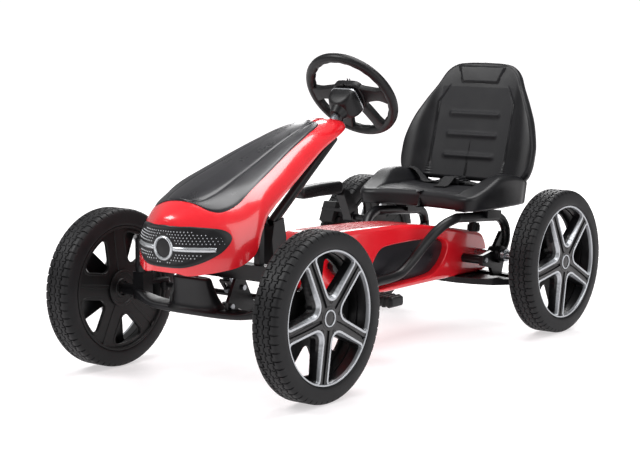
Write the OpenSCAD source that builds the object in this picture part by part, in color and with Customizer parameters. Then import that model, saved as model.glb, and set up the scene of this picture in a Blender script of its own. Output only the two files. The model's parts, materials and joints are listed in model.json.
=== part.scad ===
// Pedal go kart for a child: tube frame, steered front wheels, chain drive to the rear axle,
// moulded body shells and a sliding bucket seat. Millimetres. +Z is up, the kart drives towards -Y
// and its left side is +X. The origin is on the ground, midway between the axles.

/* [Overall] */
// Distance between the front and rear axles
wheelbase = 766; // [720:1:920]
// Distance between the two tyres of an axle, centre to centre
track = 457; // [440:1:550]
// Outer diameter of the tyres
wheel_d = 280; // [270:1:300]
// Width of the tyres
tyre_w = 55; // [44:1:60]
// Radius where a tyre sits on its rim
rim_r = 112; // [104:1:114]

/* [Frame] */
// Width of the backbone tube
backbone_w = 30; // [20:1:36]
// Height of the backbone tube
backbone_h = 24; // [18:1:26]
// Side of the square front axle beam
beam_side = 26; // [20:1:30]
// Diameter of the kingpins
kingpin_d = 12; // [10:0.5:14]
// Distance from a front tyre's centre plane in to its kingpin
kingpin_inset = 73.5; // [66:0.5:80]
// Diameter of the bent seat tubes
seat_tube_d = 19; // [15:0.5:22]
// Distance from the centre plane out to a seat tube where it carries the seat
seat_tube_x = 95; // [88:1:104]
// Diameter of the bracing tubes
brace_d = 18; // [12:1:20]

/* [Axles] */
// Diameter of the rear axle
axle_d = 16; // [12:0.5:18]
// Diameter of the front stub axles
stub_d = 12; // [10:0.5:14]
// Wall of the plastic bushes
bush_wall = 3; // [2:0.5:4]

/* [Steering] */
// Outer diameter of the steering wheel
steer_d = 191; // [170:1:230]
// Thickness of the steering wheel's grip
grip_d = 19; // [15:0.5:22]
// Angle between the steering shaft and the vertical
column_lean = 52; // [50:0.5:54]
// Diameter of the steering shaft
shaft_d = 14; // [10:0.5:16]
// Length of the drop arm at the foot of the shaft
drop_arm = 33; // [28:1:36]
// Length of a knuckle's steering arm
knuckle_arm = 56; // [50:1:60]
// Diameter of the tie rod
tie_d = 10; // [8:0.5:12]

/* [Drive] */
// Length of a pedal crank, axis to axis
crank_len = 88; // [75:1:90]
// Teeth on the chainring
ring_teeth = 24; // [20:2:26]
// Teeth on the rear sprocket
cog_teeth = 16; // [13:1:18]
// Pitch of the chain
chain_pitch = 12.7; // [12.7:0.1:12.7]
// Distance from the centre plane out to a crank arm's middle
crank_x = 60; // [58:1:66]
// Length of a pedal along its spindle
pedal_len = 88; // [70:1:92]
// Depth of a pedal, front to back
pedal_depth = 40; // [30:1:42]
// Thickness of a pedal
pedal_t = 22; // [18:1:24]

/* [Body shells] */
// Half the width of the chain cover
cover_w = 47; // [44:1:48]
// Wall of the moulded shells
shell_t = 3; // [2.5:0.5:4]
// Depth of the recess in the chain cover's sides
recess = 14; // [8:1:15]
// Half the width of the hood at its widest
hood_w = 118; // [100:1:120]
// Half the width of the front bumper
bumper_w = 150; // [130:1:152]

/* [Seat] */
// Half the width of the seat base
seat_w = 150; // [130:1:160]
// Half the width of the seat back
back_w = 158; // [140:1:165]
// Height of the top of the seat back
seat_top = 526; // [480:1:560]
// How far the seat slides forwards
seat_travel = 60; // [30:1:60]

/* [Fits] */
// Radial clearance of a shaft that turns in its bore
run_gap = 0.05; // [0.02:0.01:0.1]
// Clearance between bodies that pass each other
pass_gap = 0.4; // [0.3:0.05:1]

/* [Hidden] */
$fn = 48;
far = 400;           // a length that runs well past any part it cuts
axle_z = wheel_d / 2;
front_y = -wheelbase / 2;
rear_y = wheelbase / 2;

// Heights of the frame
backbone_z = 118;
beam_z = 199;
kingpin_x = track / 2 - kingpin_inset;
housing_r = kingpin_d / 2 + 7;
housing_h = 58;
neck_y = front_y + 48;       // the backbone's front end
mast_y = front_y + 163;
mast_d = 30;
mast_top = 252;

// Steering: the shaft leans from the wheel's centre down to the tie rod
steer_y = front_y + 398;
steer_z = 472;
col_s = sin(column_lean);
col_c = cos(column_lean);
tie_y = front_y + knuckle_arm;
tie_drop = 14;               // from the drop arm's pin down to the tie rod, across the shaft
foot = (tie_y - steer_y - (drop_arm + tie_drop) * col_c) / col_s;
tie_z = steer_z + foot * col_c - (drop_arm + tie_drop) * col_s;
pin_r = 4;
lock = 38;                   // steering wheel angle at full lock
slot_rise = drop_arm * (1 - cos(lock)) + 2;
upper_bush = -98;            // along the shaft, from the wheel's centre
lower_bush = -400;
bush_len = 22;

// Drive
crank_y = front_y + 271;
crank_z = 172;
crank_phase = -45;           // the left crank points down and to the rear
chain_x = 26;
ring_r = chain_pitch / 2 / sin(180 / ring_teeth);
cog_r = chain_pitch / 2 / sin(180 / cog_teeth);
roller_r = 3.9;
centres = norm([rear_y - crank_y, axle_z - crank_z]);
slope = atan2(axle_z - crank_z, rear_y - crank_y);
wrap = asin((ring_r - cog_r) / centres);
run = centres * cos(wrap);
ring_arc = (180 + 2 * wrap) * PI / 180 * ring_r;
cog_arc = (180 - 2 * wrap) * PI / 180 * cog_r;
links = 2 * round((2 * run + ring_arc + cog_arc) / chain_pitch / 2);
link_step = (2 * run + ring_arc + cog_arc) / links;

// ---------------------------------------------------------------- helpers

module along_x(x0, x1, r) {
  translate([x0, 0, 0]) rotate([0, 90, 0]) cylinder(r = r, h = x1 - x0);
}

module along_y(y0, y1, r) {
  translate([0, y0, 0]) rotate([-90, 0, 0]) cylinder(r = r, h = y1 - y0);
}

// A box from one corner to the opposite one
module block(a, b) {
  translate(a) cube(b - a);
}

// Children drawn flat, (y, z), become a plate between two x planes
module side_plate(x0, x1) {
  translate([x0, 0, 0]) rotate([90, 0, 90]) linear_extrude(x1 - x0) children();
}

// Local +Z runs up the steering shaft from the wheel's centre, local +Y points down and back
module on_column() {
  translate([0, steer_y, steer_z]) rotate([-column_lean, 0, 0]) children();
}

// A point between four others on a smooth curve through the middle two
function curve4(a, b, c, d, t) =
  0.5 * (2 * b + (c - a) * t + (2 * a - 5 * b + 4 * c - d) * t * t + (3 * b - a - 3 * c + d) * t * t * t);

// A list of rows or points made finer by a smooth curve through them
function smooth(p, n) = [
  for (i = [0 : len(p) - 2], k = [0 : n - 1])
    curve4(p[max(i - 1, 0)], p[i], p[i + 1], p[min(i + 2, len(p) - 1)], k / n),
  p[len(p) - 1]
];

function unit(v) = v / norm(v);

// Two directions across a path at point i, kept upright
function path_dir(p, i) = unit(p[min(i + 1, len(p) - 1)] - p[max(i - 1, 0)]);
function path_side(p, i) = unit(cross(path_dir(p, i), [0, -0.35, 1]));

// Faces of a tube of n rings of m points, wound outwards, closed at both ends
function ring_faces(n, m) = concat(
  [for (i = [0 : n - 2], j = [0 : m - 1]) let (a = i * m + j, b = i * m + (j + 1) % m) [a, b + m, b]],
  [for (i = [0 : n - 2], j = [0 : m - 1]) let (a = i * m + j, b = i * m + (j + 1) % m) [a, a + m, b + m]],
  [for (j = [1 : m - 2]) [0, j, j + 1]],
  [for (j = [1 : m - 2]) (n - 1) * m * [1, 1, 1] + [0, j + 1, j]]
);

// A round tube swept along a path of points
module sweep(path, r, sides = 16) {
  rings = [
    for (i = [0 : len(path) - 1])
      let (t = path_dir(path, i), a = path_side(path, i), b = cross(t, a))
        for (j = [0 : sides - 1]) path[i] + r * (cos(360 * j / sides) * a + sin(360 * j / sides) * b)
  ];
  polyhedron(rings, ring_faces(len(path), sides), convexity = 4);
}

// ---------------------------------------------------------------- frame

// The backbone itself, grown sideways and in height where a part is cut to clear it
module backbone(grow = 0) {
  block([-backbone_w / 2 - grow, neck_y, backbone_z - backbone_h / 2 - grow],
        [backbone_w / 2 + grow, rear_y + 26, backbone_z + backbone_h / 2 + grow]);
}

module backbone_tube() {
  color("#1c1c1e") {
    backbone();
    translate([0, neck_y, backbone_z]) along_x(-74, 74, brace_d / 2);
  }
}

module front_axle_beam() {
  color("#1c1c1e") {
    difference() {
      union() {
        translate([0, front_y, beam_z])
          cube([2 * kingpin_x, beam_side, beam_side], center = true);
        for (side = [-1, 1]) translate([side * kingpin_x, front_y, beam_z + 5])
          cylinder(r = housing_r, h = housing_h, center = true);
      }
      for (side = [-1, 1]) translate([side * kingpin_x, front_y, 0])
        cylinder(r = kingpin_d / 2 + run_gap, h = far);
    }
    for (side = [-1, 1]) side_plate(side * 62 - 3, side * 62 + 3) polygon([
      [front_y - 10, beam_z - beam_side / 2], [front_y + 12, beam_z - beam_side / 2],
      [neck_y - 6, backbone_z + 14], [neck_y - 6, backbone_z - 6],
      [front_y - 2, backbone_z + 17], [front_y - 30, backbone_z + 17], [front_y - 30, backbone_z + 30]
    ]);
    // posts that hold the hood's sides
    for (side = [-1, 1]) translate([side * (hood_w - 12), front_y, beam_z + 38])
      cube([12, 12, 76], center = true);
    // saddle that holds the lower shaft bush
    on_column() difference() {
      translate([0, 0, lower_bush]) cylinder(r = bush_r + 5, h = bush_len, center = true);
      translate([0, 0, lower_bush - bush_len]) cylinder(r = bush_r, h = 2 * bush_len);
    }
    for (side = [-1, 1]) side_plate(side * 14 - 3, side * 14 + 3) polygon([
      [front_y + beam_side / 2 - 8, beam_z + beam_side / 2], [front_y - 6, beam_z + beam_side / 2],
      [lower_y - 14, lower_z + 6], [lower_y - 8, lower_z + 8], [lower_y - 4, lower_z - 6]
    ]);
  }
}

bush_r = shaft_d / 2 + bush_wall;
lower_y = steer_y + lower_bush * col_s;
lower_z = steer_z + lower_bush * col_c;

// Upright behind the front axle, and the slanted tube that carries the upper bush
module column_mast() {
  guard = 26;                // the slanted tube's distance below the shaft
  color("#1c1c1e") {
    block([-mast_d / 2, mast_y - mast_d / 2, backbone_z + backbone_h / 2],
          [mast_d / 2, mast_y + mast_d / 2, mast_top]);
    on_column() {
      translate([0, guard, -318]) cylinder(r = brace_d / 2, h = 318 + upper_bush + 6);
      difference() {
        union() {
          translate([0, 0, upper_bush]) cylinder(r = bush_r + 5, h = bush_len, center = true);
          translate([-5, 0, upper_bush - bush_len / 2]) cube([10, guard, bush_len]);
        }
        translate([0, 0, upper_bush - bush_len]) cylinder(r = bush_r, h = 2 * bush_len);
      }
    }
    side_plate(-18, -mast_d / 2) mast_gusset();
    side_plate(mast_d / 2, 18) mast_gusset();
  }
}

module mast_gusset() {
  polygon([
    [mast_y - 15, mast_top - 62], [mast_y + 15, mast_top - 62], [mast_y + 20, mast_top - 22],
    [mast_y + 12, mast_top + 14], [mast_y - 14, mast_top + 6], [mast_y - 20, mast_top - 22]
  ]);
}

module column_bushes() {
  color("#2a2a2c") on_column() for (s = [upper_bush, lower_bush]) translate([0, 0, s])
    difference() {
      union() {
        cylinder(r = bush_r, h = bush_len, center = true);
        translate([0, 0, bush_len / 2]) cylinder(r = bush_r + 3, h = 2);
      }
      cylinder(r = shaft_d / 2 + run_gap, h = far, center = true);
    }
}

// Centre line of the left seat tube, measured from the rear axle
seat_path = [for (p = [
  [50, -380, 120], [50, -350, 125], [53, -318, 127], [57, -286, 133], [62, -262, 149],
  [68, -242, 168], [75, -222, 188], [83, -204, 206], [seat_tube_x - 5, -184, 219],
  [seat_tube_x, -156, 227], [seat_tube_x, -140, 227.5], [seat_tube_x, -75, 222.6],
  [seat_tube_x, -14, 218], [seat_tube_x, -2, 217.1], [seat_tube_x + 1, 16, 208], [seat_tube_x + 3, 27, 190],
  [seat_tube_x + 3, 28, 168], [seat_tube_x + 3, 20, 152]
]) p + [0, rear_y, 0]];
rail_tilt = atan2(227.5 - 217.1, 138);
rail_y = rear_y - 36;
rail_z = 219.7;
rail_straight = 112;         // of it, the saddle takes what the seat's travel leaves

module seat_tube() {
  color("#1c1c1e") sweep(smooth(seat_path, 3), seat_tube_d / 2);
}

module seat_tube_left() {
  seat_tube();
}

module seat_tube_right() {
  mirror([1, 0, 0]) seat_tube();
}

bracket_x = 95;
axle_bush_r = axle_d / 2 + bush_wall;

// Flat bar under the chain, cross tube inside the chain's loop, plates at the tubes' rear ends and
// the housings of the rear axle
bar_y = rear_y - 386;
bar_z = backbone_z - 15;
cross_y = rear_y - 48;
cross_z = backbone_z + backbone_h / 2 + 4;
plate_t = 8;

module carrier_bar(grow = 0) {
  block([-56, bar_y - 12 - grow, bar_z - grow], [56, bar_y + 12 + grow, bar_z + 10 + grow]);
}

module rear_carrier() {
  color("#1c1c1e") difference() {
    union() {
      carrier_bar();
      translate([0, cross_y, cross_z]) along_x(-bracket_x, bracket_x, brace_d / 2);
      for (side = [-1, 1]) {
        side_plate(side * bracket_x - plate_t / 2, side * bracket_x + plate_t / 2) polygon([
          [rear_y - 16, rear_bumper_z + 12], [rear_y + 14, rear_bumper_z + 12], [rear_y + 30, axle_z + 2],
          [rear_y + 34, axle_z + 46], [rear_y + 12, axle_z + 46], [rear_y - 20, axle_z + 10],
          [cross_y - 11, cross_z + 10], [cross_y - 11, cross_z - 10], [rear_y - 26, axle_z - 24]
        ]);
        translate([side * bracket_x, rear_y, axle_z]) along_x(-13, 13, axle_bush_r + 6);
      }
    }
    translate([0, rear_y, axle_z]) along_x(-far, far, axle_bush_r);
    backbone();
  }
}

module axle_bushes() {
  color("#2a2a2c") for (side = [-1, 1]) translate([side * bracket_x, rear_y, axle_z]) difference() {
    union() {
      along_x(-13, 13, axle_bush_r);
      translate([side * 14, 0, 0]) along_x(-1, 1, axle_bush_r + 4);
    }
    along_x(-far, far, axle_d / 2 + run_gap);
  }
}

crank_shaft_r = 7;
crank_bush_r = crank_shaft_r + bush_wall;

// Bearing tube of the cranks, on a web welded to the backbone
module crank_housing() {
  color("#1c1c1e") difference() {
    union() {
      translate([0, crank_y, crank_z]) along_x(-15, 15, crank_bush_r + 4);
      side_plate(-4, 4) polygon([
        [crank_y - 26, backbone_z + backbone_h / 2], [crank_y + 26, backbone_z + backbone_h / 2],
        [crank_y + 12, crank_z], [crank_y - 12, crank_z]
      ]);
    }
    translate([0, crank_y, crank_z]) along_x(-far, far, crank_shaft_r + run_gap);
  }
}

// Bolts of the bumper's side plates, and one in each end of the rear cross tube
module frame_bolts() {
  bumper_bolt_r = 4.5;
  cross_bolt_r = 5;
  color("#8d9196") for (side = [-1, 1]) {
    translate([side * 66, front_y - 22, beam_z - 58]) along_x(side > 0 ? -1 : -3, side > 0 ? 3 : 1, bumper_bolt_r);
    translate([side * 66, front_y + 8, beam_z - 30]) along_x(side > 0 ? -1 : -3, side > 0 ? 3 : 1, bumper_bolt_r);
    translate([side * (bracket_x + plate_t / 2 + 1.5), cross_y, cross_z]) along_x(-1.5, 1.5, cross_bolt_r);
  }
}

// ---------------------------------------------------------------- hood

// Rows down the hood, from its top end to the tip of the nose: distance behind the front axle,
// share of the full half width, height of the rim, height of the crest
hood_rows = [
  [345, 0.18, 417, 426], [334, 0.28, 414, 430], [300, 0.39, 405, 432], [234, 0.52, 386, 422],
  [180, 0.62, 363, 407], [126, 0.73, 340, 389], [74, 0.83, 318, 370], [23, 0.92, 294, 352],
  [-2, 0.975, 268, 343], [-22, 1.0, 234, 336], [-50, 0.93, 216, 326], [-75, 0.77, 208, 316],
  [-94, 0.58, 203, 305], [-107, 0.40, 200, 295], [-112.5, 0.24, 203, 286]
];
hood_shape = 2.3;            // 2 is an ellipse, more is squarer at the shoulders
hood_points = 28;

function hood_section(row, grow) = [
  for (j = [0 : hood_points])
    let (a = 180 * j / hood_points, c = cos(a), s = sin(a), e = 2 / hood_shape)
      [sign(c) * pow(abs(c), e) * (row[1] * hood_w + grow), front_y + row[0],
       row[2] + (row[3] + grow - row[2]) * pow(abs(s), e)]
];

// The solid under the hood's skin, moved out by grow, and by nose at its front
module hood_solid(grow, nose = 0, floor_drop = 0) {
  rows = smooth(hood_rows, 2);
  n = len(rows);
  m = hood_points + 1;
  rings = [
    for (i = [0 : n - 1])
      let (r = rows[i] + (i > n - 6 ? [-nose, 0, 0, 0] : [0, 0, 0, 0]), s = hood_section(r, grow))
        for (j = [0 : m - 1]) s[j] - [0, 0, (j == 0 || j == m - 1) ? floor_drop : 0]
  ];
  polyhedron(rings, ring_faces(n, m), convexity = 6);
}

module hood_shell() {
  color("#c8161d") difference() {
    hood_solid(0);
    translate([0, shell_t, 0]) hood_solid(-shell_t, 0, 120);
    on_column() translate([0, 0, -200]) cylinder(r = shaft_d / 2 + 8, h = 260);
    // the rim is open all the way round, behind the nose
    block([-far, front_y - 60, 0], [far, front_y + 20, 214]);
  }
}

// Black insert on the crest, its outline as half widths down the hood
panel_rows = [[274, 20], [266, 33], [245, 42], [206, 52], [150, 64], [72, 80], [10, 91],
  [-28, 92], [-54, 80], [-74, 54], [-82, 18]];

module hood_panel() {
  edge = smooth(panel_rows, 3);
  color("#2b2b2e") intersection() {
    difference() {
      hood_solid(1.6);
      hood_solid(0, 0, 60);
    }
    translate([0, 0, 250]) linear_extrude(far) polygon(concat(
      [for (p = edge) [p[1], front_y + p[0]]],
      [for (i = [len(edge) - 1 : -1 : 0]) [-edge[i][1], front_y + edge[i][0]]]
    ));
  }
}

grille_z = 243;
grille_half = 88;

module grille_outline() {
  polygon([
    [-grille_half, 256], [-grille_half + 6, 270], [-60, 277], [0, 281], [60, 277],
    [grille_half - 6, 270], [grille_half, 256], [grille_half - 12, 236], [grille_half - 30, 222],
    [40, 215], [-40, 215], [-grille_half + 30, 222], [-grille_half + 12, 236]
  ]);
}

module grille_panel() {
  color("#19191b") intersection() {
    difference() {
      translate([0, -1.8, 0]) hood_solid(0.6);
      hood_solid(0, 0, 60);
    }
    translate([0, front_y - 20, 0]) rotate([90, 0, 0]) linear_extrude(far) grille_outline();
  }
}

badge_r = 20;
nose_y = front_y - 112.5;

module grille_bar() {
  color("#c9ccd0") for (side = [-1, 1]) intersection() {
    difference() {
      translate([0, -4.2, 0]) hood_solid(2);
      translate([0, -1.8, 0]) hood_solid(0.6, 0, 60);
    }
    block([min(side * (badge_r + 1), side * 76), nose_y - 20, grille_z - 4],
          [max(side * (badge_r + 1), side * 76), front_y, grille_z + 4]);
  }
}

module nose_badge() {
  color("#d4d6d9") translate([0, nose_y - 1.8, grille_z]) rotate([90, 0, 0]) {
    rotate_extrude() translate([badge_r - 4, 3.2]) circle(r = 3.2, $fn = 24);
    cylinder(r = badge_r - 5, h = 2.4);
  }
}

// ---------------------------------------------------------------- bumpers

// Plan outline of half a bumper: distance out, distance ahead of the axle
function bumper_plan(w) = [
  [0, 49], [0.34 * w, 48], [0.66 * w, 44], [0.86 * w, 37], [0.97 * w, 30], [w, 24], [0.97 * w, 19],
  [0.84 * w, 17], [0.7 * w, -8], [0.36 * w, 4], [0, 8]
];

module bumper(w, lift) {
  half = bumper_plan(w);
  outline = concat(half, [for (i = [len(half) - 2 : -1 : 1]) [-half[i][0], half[i][1]]]);
  intersection() {
    linear_extrude(60) polygon(outline);
    rotate([90, 0, 0]) translate([0, 0, -far / 2]) linear_extrude(far) polygon([
      [-w, lift], [-0.86 * w, lift - 6], [-0.5 * w, 0], [0.5 * w, 0], [0.86 * w, lift - 6], [w, lift],
      [w, lift + 13], [0.86 * w, lift + 13], [0.6 * w, 14], [-0.6 * w, 14],
      [-0.86 * w, lift + 13], [-w, lift + 13]
    ]);
  }
}

module front_bumper() {
  color("#202022") translate([0, front_y, backbone_z + 3]) rotate([0, 0, 180]) {
    bumper(bumper_w, 13);
    hull() {
      translate([0, 30, 14]) scale([1, 0.4, 1]) cylinder(r = 52, h = 1, $fn = 32);
      translate([0, 47, 66]) scale([1, 0.36, 1]) cylinder(r = 38, h = 1, $fn = 32);
    }
  }
}

rear_bumper_z = 86;
bumper_hole_r = 4;
bumper_hole_x = 73;
bumper_hole_y = -42;

module rear_bumper() {
  w = bumper_w;
  half = [[0, -72], [0.3 * w, -74], [0.55 * w, -68], [0.8 * w, -54], [0.95 * w, -30],
    [w, 0], [0.96 * w, 22], [0.8 * w, 34], [0.5 * w, 42], [0, 44]];
  color("#202022") translate([0, rear_y, rear_bumper_z]) difference() {
    linear_extrude(12) polygon(concat(half,
      [for (i = [len(half) - 2 : -1 : 1]) [-half[i][0], half[i][1]]]));
    for (side = [-1, 1]) translate([side * bumper_hole_x, bumper_hole_y, -1])
      cylinder(r = bumper_hole_r, h = 20);
    translate([0, 0, 7]) linear_extrude(10) polygon([
      [0.82 * w, -38], [0.9 * w, -8], [0.86 * w, 14], [0.5 * w, 26], [-0.5 * w, 26], [-0.86 * w, 14],
      [-0.9 * w, -8], [-0.82 * w, -38], [-0.55 * w, -58], [-0.36 * w, -58], [-0.36 * w, -24],
      [0.36 * w, -24], [0.36 * w, -58], [0.55 * w, -58]
    ]);
  }
}

// ---------------------------------------------------------------- chain cover

lobe_r = 58;
function lobe_arc(in) = [
  for (a = [250 : -16 : 90]) [crank_y + (lobe_r - in) * cos(a), crank_z + (lobe_r - in) * sin(a)]
];

function cover_side(in) = concat(
  lobe_arc(in),
  [[crank_y + 112, 227 - in], [rear_y - 283, 223 - in], [rear_y - 203, 216 - in],
   [rear_y - 133, 206 - in], [rear_y - 60, 194 - in], [rear_y + 12, 180 - in],
   [rear_y + 34 - in, 165 - in / 2], [rear_y + 45 - in, 138], [rear_y + 47 - in, 110],
   [rear_y + 36 - in, 98 + in], [rear_y - 60, 98 + in], [rear_y - 183, 98 + in],
   [crank_y + 100, 98 + in], [crank_y + 20, 104 + in]]
);

// Side outline of the recess that holds the dark panel
function recess_side(in) = [
  [crank_y + 118 + in, 134], [crank_y + 133 + in, 160], [crank_y + 150 + in, 181 - in / 2],
  [crank_y + 185, 190 - in], [rear_y - 210, 190 - in], [rear_y - 150, 187 - in],
  [rear_y - 110, 177 - in], [rear_y - 104 - in, 164], [rear_y - 112 - in, 142],
  [rear_y - 134, 122 + in], [rear_y - 176, 110 + in], [crank_y + 185, 106 + in],
  [crank_y + 130, 106 + in]
];

module chain_cover() {
  edge = 7;                  // width of the bevel round the outer edge
  color("#c8161d") difference() {
    union() {
      side_plate(pass_gap, cover_w - edge) polygon(cover_side(0));
      side_plate(cover_w - edge - 0.01, cover_w - edge / 2) polygon(cover_side(edge / 3));
      side_plate(cover_w - edge / 2 - 0.01, cover_w) polygon(cover_side(edge));
    }
    difference() {
      side_plate(-1, cover_w - shell_t) polygon(cover_side(shell_t));
      side_plate(cover_w - recess - shell_t, far) polygon(recess_side(-shell_t));
    }
    side_plate(cover_w - recess, far) polygon(recess_side(0));
    translate([0, crank_y, crank_z]) along_x(0, far, crank_shaft_r + 4);
    translate([0, rear_y, axle_z]) along_x(0, far, axle_d / 2 + 4);
    translate([0, cross_y, cross_z]) along_x(0, far, brace_d / 2 + pass_gap);
    carrier_bar(pass_gap);
    sweep([seat_path[0] + [0, -8, -3], seat_path[1], seat_path[2]], seat_tube_d / 2 + 2);
    backbone(pass_gap);
  }
}

module chain_cover_left() {
  chain_cover();
}

module chain_cover_right() {
  mirror([1, 0, 0]) chain_cover();
}

// Dark panel lying in the recess
module side_panel() {
  color("#161617") difference() {
    side_plate(cover_w - recess, cover_w - recess + 2.5) polygon(recess_side(0.4));
    sweep([seat_path[0] + [0, -8, -3], seat_path[1], seat_path[2]], seat_tube_d / 2 + 2);
  }
}

module side_panel_left() {
  side_panel();
}

module side_panel_right() {
  mirror([1, 0, 0]) side_panel();
}

// ---------------------------------------------------------------- chain drive

// A point on the chain's pitch line, s millimetres round from the ring's top tangent point;
// side moves it off the line, outwards
function chain_point(s, side) =
  s < run ? ring_at(90 + slope - wrap, side) + s * [cos(slope - wrap), sin(slope - wrap)]
  : s < run + cog_arc ? cog_at(90 + slope - wrap - (s - run) / cog_r * 180 / PI, side)
  : s < 2 * run + cog_arc ? cog_at(270 + slope + wrap, side)
      - (s - run - cog_arc) * [cos(slope + wrap), sin(slope + wrap)]
  : ring_at(270 + slope + wrap - (s - 2 * run - cog_arc) / ring_r * 180 / PI, side);

function ring_at(a, side) = [crank_y, crank_z] + (ring_r + side) * [cos(a), sin(a)];
function cog_at(a, side) = [rear_y, axle_z] + (cog_r + side) * [cos(a), sin(a)];

module chain_loop(side) {
  polygon([for (k = [0 : links - 1]) chain_point((k + 0.5) * link_step, side)]);
}

module chain() {
  color("#55585c") {
    for (x = [chain_x - 3.6, chain_x + 2.4]) side_plate(x, x + 1.2) difference() {
      chain_loop(roller_r);
      chain_loop(-roller_r);
    }
    side_plate(chain_x - 2.5, chain_x + 2.5) for (k = [0 : links - 1])
      translate(chain_point((k + 0.5) * link_step, 0)) circle(r = 2.4, $fn = 16);
  }
}

// A toothed disc; first is the angle of its first gap between teeth
module toothed(teeth, r, first) {
  circle(r = r - 4.2, $fn = 96);
  for (k = [0 : teeth - 1]) rotate(first + (k + 0.5) * 360 / teeth)
    polygon([[r - 6, -2.6], [r - 4, -2.6], [r + 1.6, -1], [r + 1.6, 1], [r - 4, 2.6], [r - 6, 2.6]]);
}

ring_first = 90 + slope - wrap + link_step / 2 / ring_r * 180 / PI;
cog_first = 90 + slope - wrap
  - ((floor(run / link_step - 0.5) + 1.5) * link_step - run) / cog_r * 180 / PI;

module chainring() {
  color("#3a3c40") translate([chain_x - 1.2, crank_y, crank_z]) rotate([90, 0, 90]) difference() {
    union() {
      linear_extrude(2.4) difference() {
        toothed(ring_teeth, ring_r, ring_first);
        for (k = [0 : 4]) rotate(72 * k) translate([27, 0]) circle(r = 7);
      }
      translate([0, 0, -8]) cylinder(r = 15, h = 8);
    }
    translate([0, 0, -far]) cylinder(r = crank_shaft_r, h = 2 * far);
  }
}

cog_hub = chain_x - 1.2 - backbone_w / 2 - 2;   // the hub ends clear of the backbone

module rear_sprocket() {
  color("#3a3c40") translate([chain_x - 1.2, rear_y, axle_z]) rotate([90, 0, 90]) difference() {
    union() {
      linear_extrude(2.4) toothed(cog_teeth, cog_r, cog_first);
      translate([0, 0, -cog_hub]) cylinder(r = 14, h = cog_hub);
    }
    translate([0, 0, -far]) cylinder(r = axle_d / 2, h = 2 * far);
  }
}

spindle_r = 5;               // of a pedal

module crank_arm() {
  translate([0, crank_y, crank_z]) rotate([crank_phase, 0, 0]) {
    difference() {
      side_plate(crank_x - 4, crank_x + 4) {
        circle(r = 13);
        translate([crank_len, 0]) circle(r = 11);
        polygon([[0, -12], [crank_len, -9], [crank_len, 9], [0, 12]]);
      }
      translate([0, crank_len, 0]) along_x(0, far, spindle_r);
    }
    translate([0, crank_len, 0]) along_x(crank_x - 4, crank_x + pedal_len, spindle_r);
  }
}

// The left crank's parts, half a turn on and on the right side
module other_side() {
  translate([0, 2 * crank_y, 2 * crank_z]) rotate([180, 0, 0]) mirror([1, 0, 0]) children();
}

module crankset() {
  color("#2a2b2e") {
    translate([0, crank_y, crank_z]) along_x(-crank_x - 2, crank_x + 2, crank_shaft_r);
    crank_arm();
    other_side() crank_arm();
  }
}

module pedal() {
  color("#1a1a1c") translate([0, crank_y, crank_z]) rotate([crank_phase, 0, 0])
    translate([crank_x + 6, crank_len, 0]) rotate([-crank_phase, 0, 0]) difference() {
      union() {
        block([0, -pedal_depth / 2 + 5, -pedal_t / 2], [pedal_len - 8, pedal_depth / 2 - 5, pedal_t / 2]);
        block([0, -pedal_depth / 2, -pedal_t / 2 + 4], [pedal_len - 8, pedal_depth / 2, pedal_t / 2 - 4]);
        block([0, -pedal_depth / 2 + 8, -pedal_t / 2 + 3], [pedal_len, pedal_depth / 2 - 8, pedal_t / 2 - 3]);
      }
      along_x(-1, pedal_len - 4, spindle_r + run_gap);
    }
}

module pedal_left() {
  pedal();
}

module pedal_right() {
  other_side() pedal();
}

module rear_axle() {
  color("#9a9da1") translate([0, rear_y, axle_z]) {
    along_x(-track / 2 - 20, track / 2 + 20, axle_d / 2);
    for (x = [-bracket_x - 24, bracket_x + 15.6]) translate([x, 0, 0]) along_x(0, 8, axle_d / 2 + 5);
  }
}

// ---------------------------------------------------------------- steering

// Steering wheel: a ring on four spokes, wide at the sides
module steering_wheel() {
  color("#1b1b1d") on_column() {
    rotate_extrude($fn = 72) translate([steer_d / 2 - grip_d / 2, 0]) circle(r = grip_d / 2, $fn = 24);
    difference() {
      translate([0, 0, -9]) linear_extrude(16) {
        for (side = [-1, 1]) {
          polygon([[side * 16, -20], [side * 62, -15], [side * 80, -14], [side * 80, 12],
                   [side * 60, 9], [side * 16, 16]]);
          polygon([[side * 8, 10], [side * 30, 14], [side * 44, 74], [side * 28, 80]]);
        }
        circle(r = 34);
      }
      translate([0, 0, -30]) cylinder(r = 24.5, h = 21.2);
    }
  }
}

// Tapered housing on the shaft's side of the wheel
module wheel_boss() {
  color("#1b1b1d") on_column() difference() {
    union() {
      hull() {
        translate([-26, -24, -34]) cube([52, 50, 24]);
        translate([0, 0, -48]) cylinder(r = 20, h = 2, $fn = 32);
      }
      translate([0, 0, -62]) cylinder(r1 = 12.5, r2 = 17, h = 14);
    }
    translate([0, 0, -10.01]) cylinder(r = 60, h = 40);
    translate([0, 0, -200]) cylinder(r = shaft_d / 2, h = 300);
  }
}

module steering_shaft() {
  color("#7d8085") on_column() {
    translate([0, 0, foot - 2]) cylinder(r = shaft_d / 2, h = -foot - 8);
    translate([0, 0, foot + 5]) linear_extrude(6) {
      circle(r = shaft_d / 2 + 3);
      translate([0, drop_arm]) circle(r = 8);
      polygon([[-9, 0], [-7, drop_arm], [7, drop_arm], [9, 0]]);
    }
    translate([0, drop_arm, foot - 9]) cylinder(r = pin_r, h = 16);
  }
}

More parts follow.
